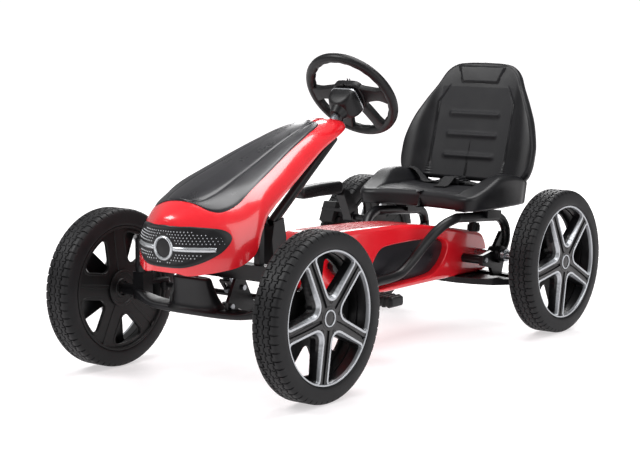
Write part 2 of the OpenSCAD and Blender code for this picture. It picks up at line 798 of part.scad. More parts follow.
// Tie rod with an eye at each end and a slotted tongue for the drop arm's pin
module tie_rod() {
  eye_r = 9;
  color("#7d8085") {
    difference() {
      union() {
        translate([0, tie_y, tie_z]) along_x(-kingpin_x, kingpin_x, tie_d / 2);
        for (side = [-1, 1]) translate([side * kingpin_x, tie_y, tie_z])
          cylinder(r = eye_r, h = tie_d + 1, center = true);
        on_column() translate([-11, drop_arm - slot_rise - 9, foot - 2])
          cube([22, tie_drop + slot_rise + 9, 4.5]);
      }
      translate([kingpin_x, tie_y, 0]) cylinder(r = pin_r + run_gap, h = far);
      translate([-kingpin_x, tie_y, 0]) cylinder(r = pin_r + 1, h = far);
      on_column() translate([0, 0, foot - 8]) linear_extrude(20) {
        translate([0, drop_arm]) circle(r = pin_r + 0.8);
        translate([0, drop_arm - slot_rise]) circle(r = pin_r + 0.8);
        translate([-pin_r - 0.8, drop_arm - slot_rise]) square([2 * pin_r + 1.6, slot_rise]);
      }
    }
  }
}

// Kingpin, stub axle and steering arm of the left front wheel
module knuckle() {
  top = beam_z + 5 + housing_h / 2;
  low = beam_z + 5 - housing_h / 2;
  color("#2a2b2e") translate([kingpin_x, front_y, 0]) {
    translate([0, 0, axle_z]) cylinder(r = kingpin_d / 2, h = top + 8 - axle_z);
    translate([0, 0, top + pass_gap]) cylinder(r = kingpin_d / 2 + 4, h = 6);
    block([-12, -12, axle_z - 13], [12, 12, low - pass_gap]);
    translate([0, 0, axle_z]) along_x(0, kingpin_inset + 20, stub_d / 2);
    translate([0, 0, axle_z]) along_x(10, kingpin_inset - tyre_w / 2 - 3, stub_d / 2 + 4);
    block([-8, 0, tie_z + tie_d / 2 + 1], [8, knuckle_arm, tie_z + tie_d / 2 + 7]);
    translate([0, knuckle_arm, tie_z - tie_d / 2 - 5]) {
      cylinder(r = pin_r, h = tie_d + 12);
      cylinder(r = pin_r + 3, h = 4);
    }
    translate([0, knuckle_arm, tie_z + tie_d / 2 + 1]) cylinder(r = 8, h = 6);
  }
}

module knuckle_left() {
  knuckle();
}

module knuckle_right() {
  mirror([1, 0, 0]) knuckle();
}

// ---------------------------------------------------------------- wheels

spoke_first = 207;           // direction of the first spoke, from straight down

module at_wheel(side, y) {
  mirror([side < 0 ? 1 : 0, 0, 0]) translate([track / 2, y, axle_z]) rotate([0, 90, 0]) children();
}

module tyre() {
  h = tyre_w / 2;
  r = wheel_d / 2;
  color("#1d1d1f") rotate_extrude($fn = 96) polygon([
    [rim_r, -h + 2], [rim_r + 6, -h], [rim_r + 16, -h + 0.4], [r - 5, -h + 2.6], [r - 1.2, -h + 6.5],
    [r, -h + 12], [r, h - 12], [r - 1.2, h - 6.5], [r - 5, h - 2.6], [rim_r + 16, h - 0.4],
    [rim_r + 6, h], [rim_r, h - 2]
  ]);
}

hub_r = 30;
barrel = 6;                  // thickness of the rim's barrel

// Outer half of the wheel: barrel, hub and five twin spokes
module rim_face(bore) {
  h = tyre_w / 2;
  inner = rim_r - barrel;
  color("#232326") difference() {
    union() {
      difference() {
        cylinder(r = rim_r, h = h + 1, $fn = 96);
        translate([0, 0, -1]) cylinder(r = inner, h = h + 10, $fn = 96);
      }
      cylinder(r = hub_r, h = h - 6);
      for (k = [0 : 4]) rotate(spoke_first - 72 * k) {
        translate([0, 0, h - 18]) linear_extrude(13) for (s = [-1, 1]) polygon([
          [hub_r - 4, s * 17], [hub_r - 4, s * 4], [inner + 1, s * 2.5], [inner + 1, s * 9]
        ]);
        translate([0, 0, h - 18]) linear_extrude(8) polygon([
          [hub_r - 4, -10], [inner + 1, -6], [inner + 1, 6], [hub_r - 4, 10]
        ]);
      }
    }
    translate([0, 0, -far]) cylinder(r = bore, h = 2 * far);
  }
}

// Inner half: barrel, web with five windows and boss
module rim_back(bore) {
  h = tyre_w / 2;
  inner = rim_r - barrel;
  color("#1d1d1f") difference() {
    union() {
      difference() {
        translate([0, 0, -h + 1]) cylinder(r = rim_r, h = h - 1, $fn = 96);
        translate([0, 0, -h]) cylinder(r = inner, h = h + 1, $fn = 96);
      }
      translate([0, 0, -h + 5]) cylinder(r = inner + 1, h = 5, $fn = 96);
      translate([0, 0, -h + 1]) cylinder(r = 34, h = h - 1);
    }
    for (k = [0 : 4]) rotate(spoke_first - 72 * k) translate([0, 0, -h]) linear_extrude(h)
      difference() {
        polygon([[42, -14], [96, -40], [102, -20], [103, 0], [102, 20], [96, 40], [42, 14], [39, 0]]);
        circle(r = 34);
      }
    translate([0, 0, -far]) cylinder(r = bore, h = 2 * far);
  }
}

stub_bore = stub_d / 2 + run_gap;
axle_bore = axle_d / 2 + run_gap;

module tyre_front_left() {
  at_wheel(1, front_y) tyre();
}

module rim_front_left() {
  at_wheel(1, front_y) rim_face(stub_bore);
}

module rim_back_front_left() {
  at_wheel(1, front_y) rim_back(stub_bore);
}

module tyre_front_right() {
  at_wheel(-1, front_y) tyre();
}

module rim_front_right() {
  at_wheel(-1, front_y) rim_face(stub_bore);
}

module rim_back_front_right() {
  at_wheel(-1, front_y) rim_back(stub_bore);
}

module tyre_rear_left() {
  at_wheel(1, rear_y) tyre();
}

module rim_rear_left() {
  at_wheel(1, rear_y) rim_face(axle_d / 2);
}

module rim_back_rear_left() {
  at_wheel(1, rear_y) rim_back(axle_d / 2);
}

module tyre_rear_right() {
  at_wheel(-1, rear_y) tyre();
}

module rim_rear_right() {
  at_wheel(-1, rear_y) rim_face(axle_bore);
}

module rim_back_rear_right() {
  at_wheel(-1, rear_y) rim_back(axle_bore);
}

// ---------------------------------------------------------------- seat

seat_front = rear_y - 162;   // front corners of the base

// Base: a floor with a rolled front edge and a raised bolster on each side
module seat_base() {
  w = seat_w;
  color("#1a1a1c") difference() {
    intersection() {
      // plan
      linear_extrude(far) polygon(concat(
        [for (p = [[0, 22], [60, 10], [0.72 * w, -2], [0.87 * w, 4], [0.95 * w, 30], [w, 90],
                   [w, 150], [0.97 * w, 180], [0.9 * w, 200], [0, 206]]) [p[0], seat_front + p[1]]],
        [for (p = [[0.9 * w, 200], [0.97 * w, 180], [w, 150], [w, 90], [0.95 * w, 30], [0.87 * w, 4],
                   [0.72 * w, -2], [60, 10]]) [-p[0], seat_front + p[1]]]
      ));
      // cross-section
      translate([0, seat_front - 20, 0]) rotate([-90, 0, 0]) mirror([0, 1, 0]) linear_extrude(300)
        polygon([[-w, 250], [-0.8 * w, 240], [0.8 * w, 240], [w, 250], [w, 290], [0.96 * w, 303],
                 [0.88 * w, 309], [0.78 * w, 305], [0.66 * w, 288], [0.58 * w, 276], [-0.58 * w, 276],
                 [-0.66 * w, 288], [-0.78 * w, 305], [-0.88 * w, 309], [-0.96 * w, 303], [-w, 290]]);
      // side view
      side_plate(-far, far) polygon([for (p = [[-6, 246], [0, 238], [14, 234], [60, 240], [206, 240],
        [210, 285], [190, 294], [150, 304], [115, 309], [90, 304], [50, 286], [24, 276], [4, 268],
        [-5, 258]]) [seat_front + p[0], p[1]]]);
    }
  }
}

lean = 16;                   // the seat back's lean from the vertical
back_foot_y = rear_y + 12;
knob_x = 64;
back_foot_z = 262;

// Back: outline, lean and bolsters
module seat_back() {
  w = back_w;
  h = (seat_top - back_foot_z) / cos(lean);
  color("#1a1a1c") translate([0, back_foot_y, back_foot_z]) rotate([-lean, 0, 0]) difference() {
    intersection() {
      translate([0, 60, 0]) rotate([90, 0, 0]) linear_extrude(100) polygon(concat(
        [for (p = back_outline) [p[0] * w, p[1] * h]],
        [for (i = [len(back_outline) - 1 : -1 : 0]) [-back_outline[i][0] * w, back_outline[i][1] * h]]
      ));
      linear_extrude(h) polygon([[-w, -2], [-0.94 * w, -14], [-0.8 * w, -12], [-0.62 * w, 3],
        [-0.5 * w, 5], [0.5 * w, 5], [0.62 * w, 3], [0.8 * w, -12], [0.94 * w, -14], [w, -2],
        [w, 14], [0.8 * w, 30], [0.4 * w, 38], [-0.4 * w, 38], [-0.8 * w, 30], [-w, 14]]);
      side_plate(-far, far) polygon([[-14, 24], [-14, 0.42 * h], [-6, 0.66 * h], [0, 0.85 * h],
        [6, 0.98 * h], [14, h], [28, 0.985 * h], [34, 0.9 * h], [38, 0.5 * h], [34, 0.1 * h],
        [26, 24]]);
    }
  }
}

back_outline = [[0, 0.02], [0.86, 0.02], [0.94, 0.08], [0.99, 0.16], [1, 0.27], [0.985, 0.38],
  [0.9, 0.54], [0.78, 0.68], [0.65, 0.81], [0.57, 0.9], [0.48, 0.955], [0.38, 0.985], [0.2, 1]];

// Steel bracket under the seat, with a saddle over each seat tube and the arms of the back
module seat_slider() {
  saddle = rail_straight - seat_travel;
  plate_low = seat_tube_d / 2 + 1;
  plate_top = seat_tube_d / 2 + 4;
  color("#1c1c1e") difference() {
    union() {
      for (side = [-1, 1]) on_rail() translate([side * seat_tube_x, 0, 0])
        block([-15, -saddle / 2, -2], [15, saddle / 2, plate_top]);
      on_rail() block([-seat_tube_x, -24, plate_low], [seat_tube_x, 24, plate_top]);
      // two straps under the seat and up its back
      for (side = [-1, 1]) side_plate(side * 70 - 12, side * 70 + 12) polygon([
        [rear_y - 100, 240], [rear_y - 100, 233], [rear_y + 55, 233], [rear_y + 82, 320],
        [rear_y + 70, 320], [rear_y + 47, 240]
      ]);
    }
    for (side = [-1, 1]) on_rail() translate([side * seat_tube_x, 0, 0])
      along_y(-far, far, seat_tube_d / 2 + pass_gap);
    on_rail() translate([knob_x, 0, -far]) cylinder(r = 4 + run_gap, h = far + plate_top + 0.4);
  }
}

// Local +Y runs back along the seat tubes' straight stretch
module on_rail() {
  translate([0, rail_y, rail_z]) rotate([-rail_tilt, 0, 0]) children();
}

// Clamp screw and knob under the slider, between a seat tube and the chain cover
module seat_knob() {
  color("#161617") on_rail() translate([knob_x, 0, 0]) {
    translate([0, 0, -16]) cylinder(r = 4, h = seat_tube_d / 2 + 19);
    translate([0, 0, -30]) for (k = [0 : 4]) rotate(72 * k) translate([9.5, 0, 0]) cylinder(r = 4, h = 12);
    translate([0, 0, -32]) cylinder(r = 10.5, h = 18);
  }
}

belt_w = 25;
belt_t = 2;

// Lap belt: two straps over the seat floor and a buckle
module belt(side) {
  color("#111112") translate([0, rear_y + 2 - belt_w, 0]) rotate([90, 0, 0]) mirror([0, 0, 1])
    linear_extrude(belt_w) polygon([
      [side * 17, 281.5], [side * 58, 276], [side * 85, 276], [side * 85, 276 + belt_t],
      [side * 58, 276 + belt_t], [side * 17, 281.5 + belt_t]
    ]);
}

module belt_left() {
  belt(1);
}

module belt_right() {
  belt(-1);
}

module belt_buckle() {
  color("#1a1a1c") difference() {
    block([-18, rear_y - 26 - 4, 276], [18, rear_y + 5, 290]);
    for (side = [-1, 1]) translate([side * 23, rear_y + 2 - belt_w / 2, 283])
      cube([14, belt_w + 2, 6], center = true);
  }
}

// ---------------------------------------------------------------- hand brake

brake_y = rear_y - 133;      // the lever's pivot
brake_z = 208;
brake_x = 170;               // the lever's plane, on the right side
shoe_gap = 4;                // from the shoe to the tyre while the lever is at rest

module brake_bracket() {
  color("#1c1c1e") {
    translate([0, brake_y, brake_z]) along_x(-brake_x - 17, -seat_tube_x, 6);
    side_plate(-seat_tube_x - 13, -seat_tube_x) polygon([
      [brake_y - 16, brake_z - 8], [brake_y + 16, brake_z - 8], [brake_y + 16, brake_z + 14],
      [brake_y - 16, brake_z + 14]
    ]);
  }
}

module brake_lever() {
  color("#1c1c1e") translate([0, brake_y, brake_z]) difference() {
    union() {
      side_plate(-brake_x - 12, -brake_x + 8) polygon([
        [-10, -6], [-4, -11], [5, -11], [12, 2], [12, 16], [-18, 54], [-36, 60], [-36, 46]
      ]);
      // tongue that reaches into the grip
      side_plate(-brake_x - 5, -brake_x + 1) polygon([[-20, 46], [-20, 54], [-50, 60], [-50, 48]]);
      translate([-brake_x - 2, 0, 0]) along_x(-13, 13, 11);
      side_plate(-track / 2 - 16, -brake_x) polygon([[-4, 8], [6, 8], [6, 14], [-4, 14]]);
    }
    along_x(-far, far, 6 + run_gap);
  }
}

module brake_grip() {
  color("#1a1a1c") translate([-brake_x - 2, brake_y, brake_z]) difference() {
    side_plate(-13, 13) polygon([
      [-176, 62], [-172, 54], [-160, 50], [-50, 52], [-40, 60], [-42, 76], [-50, 78], [-150, 76],
      [-166, 72]
    ]);
    side_plate(-3, 3) polygon([[-50.2, 40], [-10, 40], [-10, 62], [-50.2, 60.2]]);
  }
}

// Friction block in front of the right rear tyre
module brake_shoe() {
  r = wheel_d / 2 + shoe_gap;
  color("#222224") difference() {
    translate([-track / 2, brake_y, brake_z]) side_plate(-16, 16)
      polygon([[-12, -12], [-4, -16], [8, -12], [20, 14], [14, 26], [4, 26]]);
    translate([0, rear_y, axle_z]) along_x(-far, 0, r);
    translate([0, brake_y, brake_z]) side_plate(-track / 2 - 16.1, -brake_x)
      polygon([[-4, 8], [6, 8], [6, 14], [-4, 14]]);
  }
}

backbone_tube();
front_axle_beam();
column_mast();
column_bushes();
seat_tube_left();
seat_tube_right();
rear_carrier();
axle_bushes();
crank_housing();
hood_shell();
hood_panel();
grille_panel();
grille_bar();
nose_badge();
front_bumper();
rear_bumper();
chain_cover_left();
chain_cover_right();
side_panel_left();
side_panel_right();
frame_bolts();
chain();
seat_base();
seat_back();
seat_slider();
belt_left();
belt_right();
belt_buckle();
seat_knob();
brake_bracket();
brake_lever();
brake_grip();
brake_shoe();
steering_wheel();
wheel_boss();
steering_shaft();
tie_rod();
knuckle_left();
knuckle_right();
rear_axle();
rear_sprocket();
crankset();
chainring();
pedal_left();
pedal_right();
tyre_front_left();
rim_front_left();
rim_back_front_left();
tyre_front_right();
rim_front_right();
rim_back_front_right();
tyre_rear_left();
rim_rear_left();
rim_back_rear_left();
tyre_rear_right();
rim_rear_right();
rim_back_rear_right();
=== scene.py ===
# %% [markdown]
# # A child's pedal go kart, dressed over its working frame
# The frame comes from the CAD and the motion model: every tube, axle and joint is in place and at its
# real size. This lesson gives each of its pieces the shape and the finish of the real ones. Most new
# pieces are surfaces computed with numpy, because a formula is short, exact and easy to change.

# %% The frame
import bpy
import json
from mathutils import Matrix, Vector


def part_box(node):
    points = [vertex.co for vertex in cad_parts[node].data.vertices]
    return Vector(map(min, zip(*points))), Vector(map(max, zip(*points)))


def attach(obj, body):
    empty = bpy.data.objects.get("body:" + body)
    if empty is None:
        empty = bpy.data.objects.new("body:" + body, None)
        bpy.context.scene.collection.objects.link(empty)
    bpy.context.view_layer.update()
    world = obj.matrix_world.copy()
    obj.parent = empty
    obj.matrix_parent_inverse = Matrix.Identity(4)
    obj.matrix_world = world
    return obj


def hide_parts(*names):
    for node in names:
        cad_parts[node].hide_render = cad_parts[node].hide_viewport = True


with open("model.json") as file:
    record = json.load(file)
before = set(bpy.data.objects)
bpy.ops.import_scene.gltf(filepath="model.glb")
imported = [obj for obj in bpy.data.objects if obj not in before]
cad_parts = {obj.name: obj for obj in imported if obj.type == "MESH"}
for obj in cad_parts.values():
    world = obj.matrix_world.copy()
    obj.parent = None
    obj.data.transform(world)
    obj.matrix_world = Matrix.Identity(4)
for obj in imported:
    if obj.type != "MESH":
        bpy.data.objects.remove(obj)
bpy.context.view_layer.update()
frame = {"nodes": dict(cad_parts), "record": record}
import json
import math

import bmesh
import bpy
import numpy as np
from mathutils import Matrix, Vector

MM = 0.001

# %% [markdown]
# The camera comes first, so that every later look is from the same place. A kart is best seen from
# ahead and a little to its left, from a child's eye height. A camera object looks along its own -Z,
# so its matrix holds three directions: right, up and back.

# %% Camera
def camera_matrix(place, azimuth, elevation, roll):
    """Right, up and back directions from the turn round +Z, the height angle and the roll, all in
    degrees."""
    a, e, r = (math.radians(v) for v in (azimuth, elevation, roll))
    back = Vector((math.sin(a) * math.cos(e), -math.cos(a) * math.cos(e), math.sin(e)))
    right = Vector((math.cos(a), math.sin(a), 0))
    up = back.cross(right)
    turned_right = right * math.cos(r) + up * math.sin(r)
    turned_up = up * math.cos(r) - right * math.sin(r)
    matrix = Matrix((turned_right, turned_up, back)).transposed().to_4x4()
    matrix.translation = Vector(place)
    return matrix


camera_data = bpy.data.cameras.new("camera")
camera_data.sensor_width = 36
camera_data.lens = 93.21
camera_data.clip_end = 50
camera = bpy.data.objects.new("camera", camera_data)
camera.matrix_world = camera_matrix((1.81298, -2.45865, 0.63201), 37.306, 7.918, 0.322)
bpy.context.scene.collection.objects.link(camera)
bpy.context.scene.camera = camera
print("camera lens", camera_data.lens, "mm")

# %% [markdown]
# Sizes are read from the frame, so that a piece goes where the CAD says. A kart's main sizes are its
# wheels and where its axles are; the joints hold the steering shaft's place and direction.

# %% Sizes from the frame
def box_mm(node):
    """A node's lowest and highest corner at rest, in millimetres."""
    low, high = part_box(node)
    return np.array(low) / MM, np.array(high) / MM


joints = {joint["name"]: joint for joint in frame["record"]["behaviour"]["joints"]}
tyre_low, tyre_high = box_mm("tyre_front_left")
wheel_r = tyre_high[2] / 2
tyre_w = round(tyre_high[0] - tyre_low[0], 1)
rim_low, rim_high = box_mm("rim_back_front_left")
rim_r = (rim_high[2] - rim_low[2]) / 2
front_y = round((tyre_low[1] + tyre_high[1]) / 2)
rear_y = round(sum(corner[1] for corner in box_mm("tyre_rear_left")) / 2)
track = tyre_low[0] + tyre_high[0]
print("wheel radius", round(wheel_r, 1), "axles at", front_y, rear_y, "track", track)

# %% [markdown]
# Three small tools carry nearly every piece. One turns grids of points into faces, one puts points and
# faces into a mesh, and one carries a closed outline through a stack of rings, which is called a loft.

# %% Mesh tools
def grid_quads(rows, columns, wrap_rows=False, wrap_columns=False):
    """Corner numbers of the quads between neighbouring rows and columns of a grid, as whole arrays."""
    i = np.arange(rows if wrap_rows else rows - 1)[:, None]
    j = np.arange(columns if wrap_columns else columns - 1)[None, :]
    a = i * columns + j
    b = i * columns + (j + 1) % columns
    c = (i + 1) % rows * columns + (j + 1) % columns
    d = (i + 1) % rows * columns + j
    return np.stack([a, b, c, d], -1).reshape(-1, 4)


def loft(rings, caps=(True, True), closed=True):
    """Points and faces of a skin through rings (rings, points, 3), with a flat face on each end asked
    for."""
    rings = np.asarray(rings, float)
    count, size = rings.shape[:2]
    faces = grid_quads(count, size, wrap_columns=closed).tolist()
    if caps[0]:
        faces.append(list(range(size))[::-1])
    if caps[1]:
        faces.append(list(range((count - 1) * size, count * size)))
    return rings.reshape(-1, 3), faces


def merge(*parts):
    """Several (points, faces) as one."""
    points, faces, start = [], [], 0
    for part_points, part_faces in parts:
        points.append(part_points)
        faces += [[corner + start for corner in face] for face in part_faces]
        start += len(part_points)
    return np.concatenate(points), faces


def turned_out(mesh):
    """Every closed part's faces are made to point outwards."""
    work = bmesh.new()
    work.from_mesh(mesh)
    bmesh.ops.recalc_face_normals(work, faces=work.faces)
    work.to_mesh(mesh)
    work.free()


def piece(name, shape, material, body, stands_for=(), crease=35, recalc=True):
    """A mesh object from (points in mm, faces), smooth except where faces meet at more than crease
    degrees."""
    points, faces = shape
    mesh = bpy.data.meshes.new(name)
    mesh.from_pydata((np.asarray(points) * MM).tolist(), [], faces)
    if recalc:
        turned_out(mesh)
    mesh.shade_smooth()
    mesh.set_sharp_from_angle(angle=math.radians(crease))
    mesh.materials.append(material)
    obj = bpy.data.objects.new(name, mesh)
    bpy.context.scene.collection.objects.link(obj)
    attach(obj, body)
    if stands_for:
        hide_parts(*stands_for)
    print(name, len(mesh.vertices), "points,", "on", body)
    return obj


def smooth_line(points, steps, closed=False):
    """A curve through the points, each coordinate a cubic of the four nearest ones (Catmull-Rom)."""
    p = np.asarray(points, float)
    if closed:
        p = np.concatenate([p[-1:], p, p[:2]])
    else:
        p = np.concatenate([2 * p[:1] - p[1:2], p, 2 * p[-1:] - p[-2:-1]])
    t = (np.arange(steps) / steps)[None, :, None]
    a, b, c, d = (p[i : len(p) - 3 + i][:, None, :] for i in range(4))
    curve = 0.5 * (2 * b + (c - a) * t + (2 * a - 5 * b + 4 * c - d) * t**2
                   + (3 * b - a - 3 * c + d) * t**3)
    curve = curve.reshape(-1, p.shape[1])
    return curve if closed else np.concatenate([curve, p[-2:-1]])


def inset(loop, amount, reach=1):
    """A closed flat outline moved inwards: each point goes square to the line between the points reach
    steps before and after."""
    along = np.roll(loop, -reach, 0) - np.roll(loop, reach, 0)
    along /= np.linalg.norm(along, axis=1, keepdims=True) + 1e-9
    area = np.sum(loop[:, 0] * np.roll(loop[:, 1], -1) - np.roll(loop[:, 0], -1) * loop[:, 1])
    normal = np.stack([-along[:, 1], along[:, 0]], 1) * np.sign(area)
    return loop + normal * amount


def rounded_plate(loop, low, high, radius, put, steps=5, low_radius=None):
    """A plate of the flat outline between two heights, its edges rounded by quarter circles. put maps
    flat points and a height to 3-D."""
    low_radius = radius if low_radius is None else low_radius
    angle = np.linspace(0, math.pi / 2, steps)
    levels = [(low_radius * (1 - math.sin(a)), low + low_radius * (1 - math.cos(a))) for a in angle]
    levels += [(radius * (1 - math.cos(a)), high - radius * (1 - math.sin(a))) for a in angle]
    rings = [put(inset(loop, amount), height) for amount, height in levels]
    return loft(rings)


def rounded_rectangle(width, height, radius, steps=6):
    """Outline of a rectangle centred at 0 whose corners are quarter circles."""
    angle = np.linspace(0, math.pi / 2, steps)
    arc = np.stack([np.cos(angle), np.sin(angle)], 1) * radius
    corners = []
    for quarter, (sx, sy) in enumerate(((1, 1), (-1, 1), (-1, -1), (1, -1))):
        c, s = math.cos(quarter * math.pi / 2), math.sin(quarter * math.pi / 2)
        turned = arc @ np.array([[c, s], [-s, c]])
        corners.append(turned + [sx * (width / 2 - radius), sy * (height / 2 - radius)])
    return np.concatenate(corners)


def by_direction(loop, centre, count=720):
    """A star-shaped outline sampled at even directions from a centre."""
    from_centre = loop - centre
    angle = np.arctan2(from_centre[:, 1], from_centre[:, 0])
    order = np.argsort(angle)
    reach = np.hypot(*from_centre.T)[order]
    turn = np.linspace(-math.pi, math.pi, count, endpoint=False)
    distance = np.interp(turn, angle[order], reach, period=2 * math.pi)
    return centre + np.stack([np.cos(turn), np.sin(turn)], 1) * distance[:, None]


def dense(loop, steps=12):
    """More points on a closed outline, by straight lines between its own."""
    after = np.roll(loop, -1, 0)
    share = (np.arange(steps) / steps)[None, :, None]
    return (loop[:, None] * (1 - share) + after[:, None] * share).reshape(-1, 2)


def across_x(sign=1, y=0.0, z=0.0):
    """Flat points are (y, z) and the height is x, on the side that sign says."""
    def put(flat, height):
        return np.stack([np.full(len(flat), sign * height), flat[:, 0] + y, flat[:, 1] + z], 1)
    return put


def upright(x=0.0, y=0.0):
    """Flat points are (x, y) and the height is z."""
    def put(flat, height):
        return np.stack([flat[:, 0] + x, flat[:, 1] + y, np.full(len(flat), float(height))], 1)
    return put


def tube(path, radius, sides=20, caps=(True, True)):
    """A round tube: rings square to the path, kept upright by a fixed side direction."""
    path = np.asarray(path, float)
    along = np.gradient(path, axis=0)
    along /= np.linalg.norm(along, axis=1, keepdims=True)
    side = np.cross(along, np.array([0.0, -0.35, 1.0]))
    side /= np.linalg.norm(side, axis=1, keepdims=True)
    up = np.cross(along, side)
    turn = np.linspace(0, 2 * math.pi, sides, endpoint=False)
    radius = np.broadcast_to(radius, len(path))[:, None, None]
    rings = path[:, None] + radius * (
        np.cos(turn)[None, :, None] * side[:, None] + np.sin(turn)[None, :, None] * up[:, None]
    )
    return loft(rings, caps)


# %% [markdown]
# Materials are node trees. One function turns the hex colours of a paint chart into the linear numbers
# that the renderer works in, and one adds a node with its settings and its links. The grain, speckle and
# wear of each finish are noise patterns whose scale is worked out from a real size in millimetres.

# %% Material tools
def linear(hex_colour):
    """An sRGB hex colour as linear red, green, blue and alpha."""
    parts = [int(hex_colour[i : i + 2], 16) / 255 for i in (1, 3, 5)]
    return [p / 12.92 if p <= 0.04045 else ((p + 0.055) / 1.055) ** 2.4 for p in parts] + [1.0]


def add(tree, kind, settings=None, **links):
    """A node with its settings: inputs by name take a value or another node's socket."""
    node = tree.nodes.new(kind)
    for key, value in (settings or {}).items():
        setattr(node, key, value)
    for key, value in links.items():
        socket = node.inputs[int(key[1:])] if key[0] == "_" else node.inputs[key.replace("_", " ")]
        if isinstance(value, bpy.types.NodeSocket):
            tree.links.new(value, socket)
        else:
            socket.default_value = value
    return node


def ramp(tree, factor, stops):
    """A colour ramp with the given (place, hex colour) stops."""
    node = add(tree, "ShaderNodeValToRGB", Fac=factor)
    elements = node.color_ramp.elements
    while len(elements) < len(stops):
        elements.new(0.5)
    for element, (place, colour) in zip(elements, stops):
        element.position = place
        element.color = linear(colour)
    return node.outputs[0]


def levels(tree, value, from_low, from_high, to_low, to_high):
    """A value stretched from one range to another."""
    node = add(tree, "ShaderNodeMapRange", Value=value)
    ends = {"From Min": from_low, "From Max": from_high, "To Min": to_low, "To Max": to_high}
    for socket, number in ends.items():
        node.inputs[socket].default_value = number
    return node.outputs[0]


def start(name):
    """A new material, its tree, its main shader and the object coordinates (in metres)."""
    material = bpy.data.materials.new(name)
    material.use_nodes = True
    tree = material.node_tree
    shader = tree.nodes["Principled BSDF"]
    place = add(tree, "ShaderNodeTexCoord").outputs["Object"]
    return material, tree, shader, place


def grain(tree, place, size_mm, detail=3, roughness=0.55):
    """Noise whose blobs are about size_mm across."""
    node = add(tree, "ShaderNodeTexNoise", Vector=place, Scale=1 / (size_mm * MM), Detail=detail)
    node.inputs["Roughness"].default_value = roughness
    return node.outputs["Fac"]


def bump(tree, shader, height, depth_mm, strength=0.6):
    """A height pattern tilts the light by a relief of depth_mm."""
    node = add(tree, "ShaderNodeBump", Strength=strength, Distance=depth_mm * MM, Height=height)
    tree.links.new(node.outputs["Normal"], shader.inputs["Normal"])


def finish(name, colours, rough, grain_mm, depth_mm, patch_mm=40, **constants):
    """A material of three parts: two close colours in soft patches, a roughness that drifts, and a fine
    grain as bump."""
    material, tree, shader, place = start(name)
    patches = grain(tree, place, patch_mm, 4)
    tree.links.new(ramp(tree, patches, [(0.3, colours[0]), (0.7, colours[1])]), shader.inputs["Base Color"])
    tree.links.new(levels(tree, patches, 0.3, 0.7, rough[0], rough[1]), shader.inputs["Roughness"])
    bump(tree, shader, grain(tree, place, grain_mm, 2), depth_mm)
    for key, value in constants.items():
        shader.inputs[key.replace("_", " ")].default_value = value
    return material


# %% [markdown]
# Glossy ABS (hood, chain cover) is moulded against a polished steel mould and lacquered, so
# it is smooth with a very faint orange peel. Satin polypropylene (seat, bumpers, grips) is moulded against
# an etched mould, so it has a fine grain. Powder coat on steel is slightly lumpy. Foamed rubber is matt.

# %% Finishes
DULL = dict(IOR=1.5, Specular_IOR_Level=0.28)
LACQUER = dict(IOR=1.5, Coat_Weight=0.6, Coat_Roughness=0.04)
red_abs = finish("lacquered ABS, glossy red", ("#D81622", "#DE1B28"), (0.2, 0.26), 9, 0.02, **LACQUER)
black_abs = finish("moulded ABS, satin black", ("#18181C", "#1E1D22"), (0.26, 0.34), 2.0, 0.02, IOR=1.5)
grille_abs = finish("moulded ABS, black grille", ("#151517", "#1B1B1D"), (0.34, 0.42), 2.0, 0.02, **DULL)
back_abs = finish("moulded nylon, plain black", ("#0A0A0B", "#101011"), (0.42, 0.52), 2.0, 0.04, **DULL)
seat_pp = finish("moulded polypropylene, smooth black", ("#0E0E10", "#131316"), (0.34, 0.44), 1.8, 0.05,
                 **DULL)
grain_pp = finish("moulded polypropylene, fine grained", ("#101013", "#161619"), (0.5, 0.6), 1.4, 0.16,
                  **DULL)
bumper_pp = finish("moulded polypropylene, bumper black", ("#0E0E10", "#141417"), (0.34, 0.44), 1.6, 0.05,
                   **DULL)
grip_pp = finish("soft PVC grip, black", ("#0D0D0F", "#121214"), (0.36, 0.46), 1.5, 0.05, **DULL)
powder = finish("powder coated steel, satin black", ("#0F0F11", "#161618"), (0.28, 0.36), 2.6, 0.05, **DULL)
bush_nylon = finish("moulded nylon bush", ("#1A1A1C", "#202022"), (0.4, 0.5), 1.5, 0.03, IOR=1.5)
rubber = finish("moulded rubber, matt", ("#141415", "#1A1A1B"), (0.7, 0.8), 1.2, 0.08, **DULL)
foam = finish("foamed EVA tyre, satin black", ("#0E0E10", "#141416"), (0.5, 0.6), 1.6, 0.06, 30, **DULL)
zinc = finish("zinc plated steel, dull", ("#6E7176", "#84888D"), (0.36, 0.48), 1.2, 0.03, 12, Metallic=1.0)
bright = finish("zinc plated steel, bright", ("#A4A7AB", "#B9BCC0"), (0.24, 0.36), 1.2, 0.02, 12,
                Metallic=1.0)
oiled = finish("oiled chain steel", ("#35363A", "#4A4C50"), (0.3, 0.45), 2.0, 0.05, 10, Metallic=1.0)
silver = finish("silver lacquer on ABS", ("#B3B6BA", "#C2C5C8"), (0.24, 0.32), 1.0, 0.01, Metallic=0.75)
print(len(bpy.data.materials), "finishes")


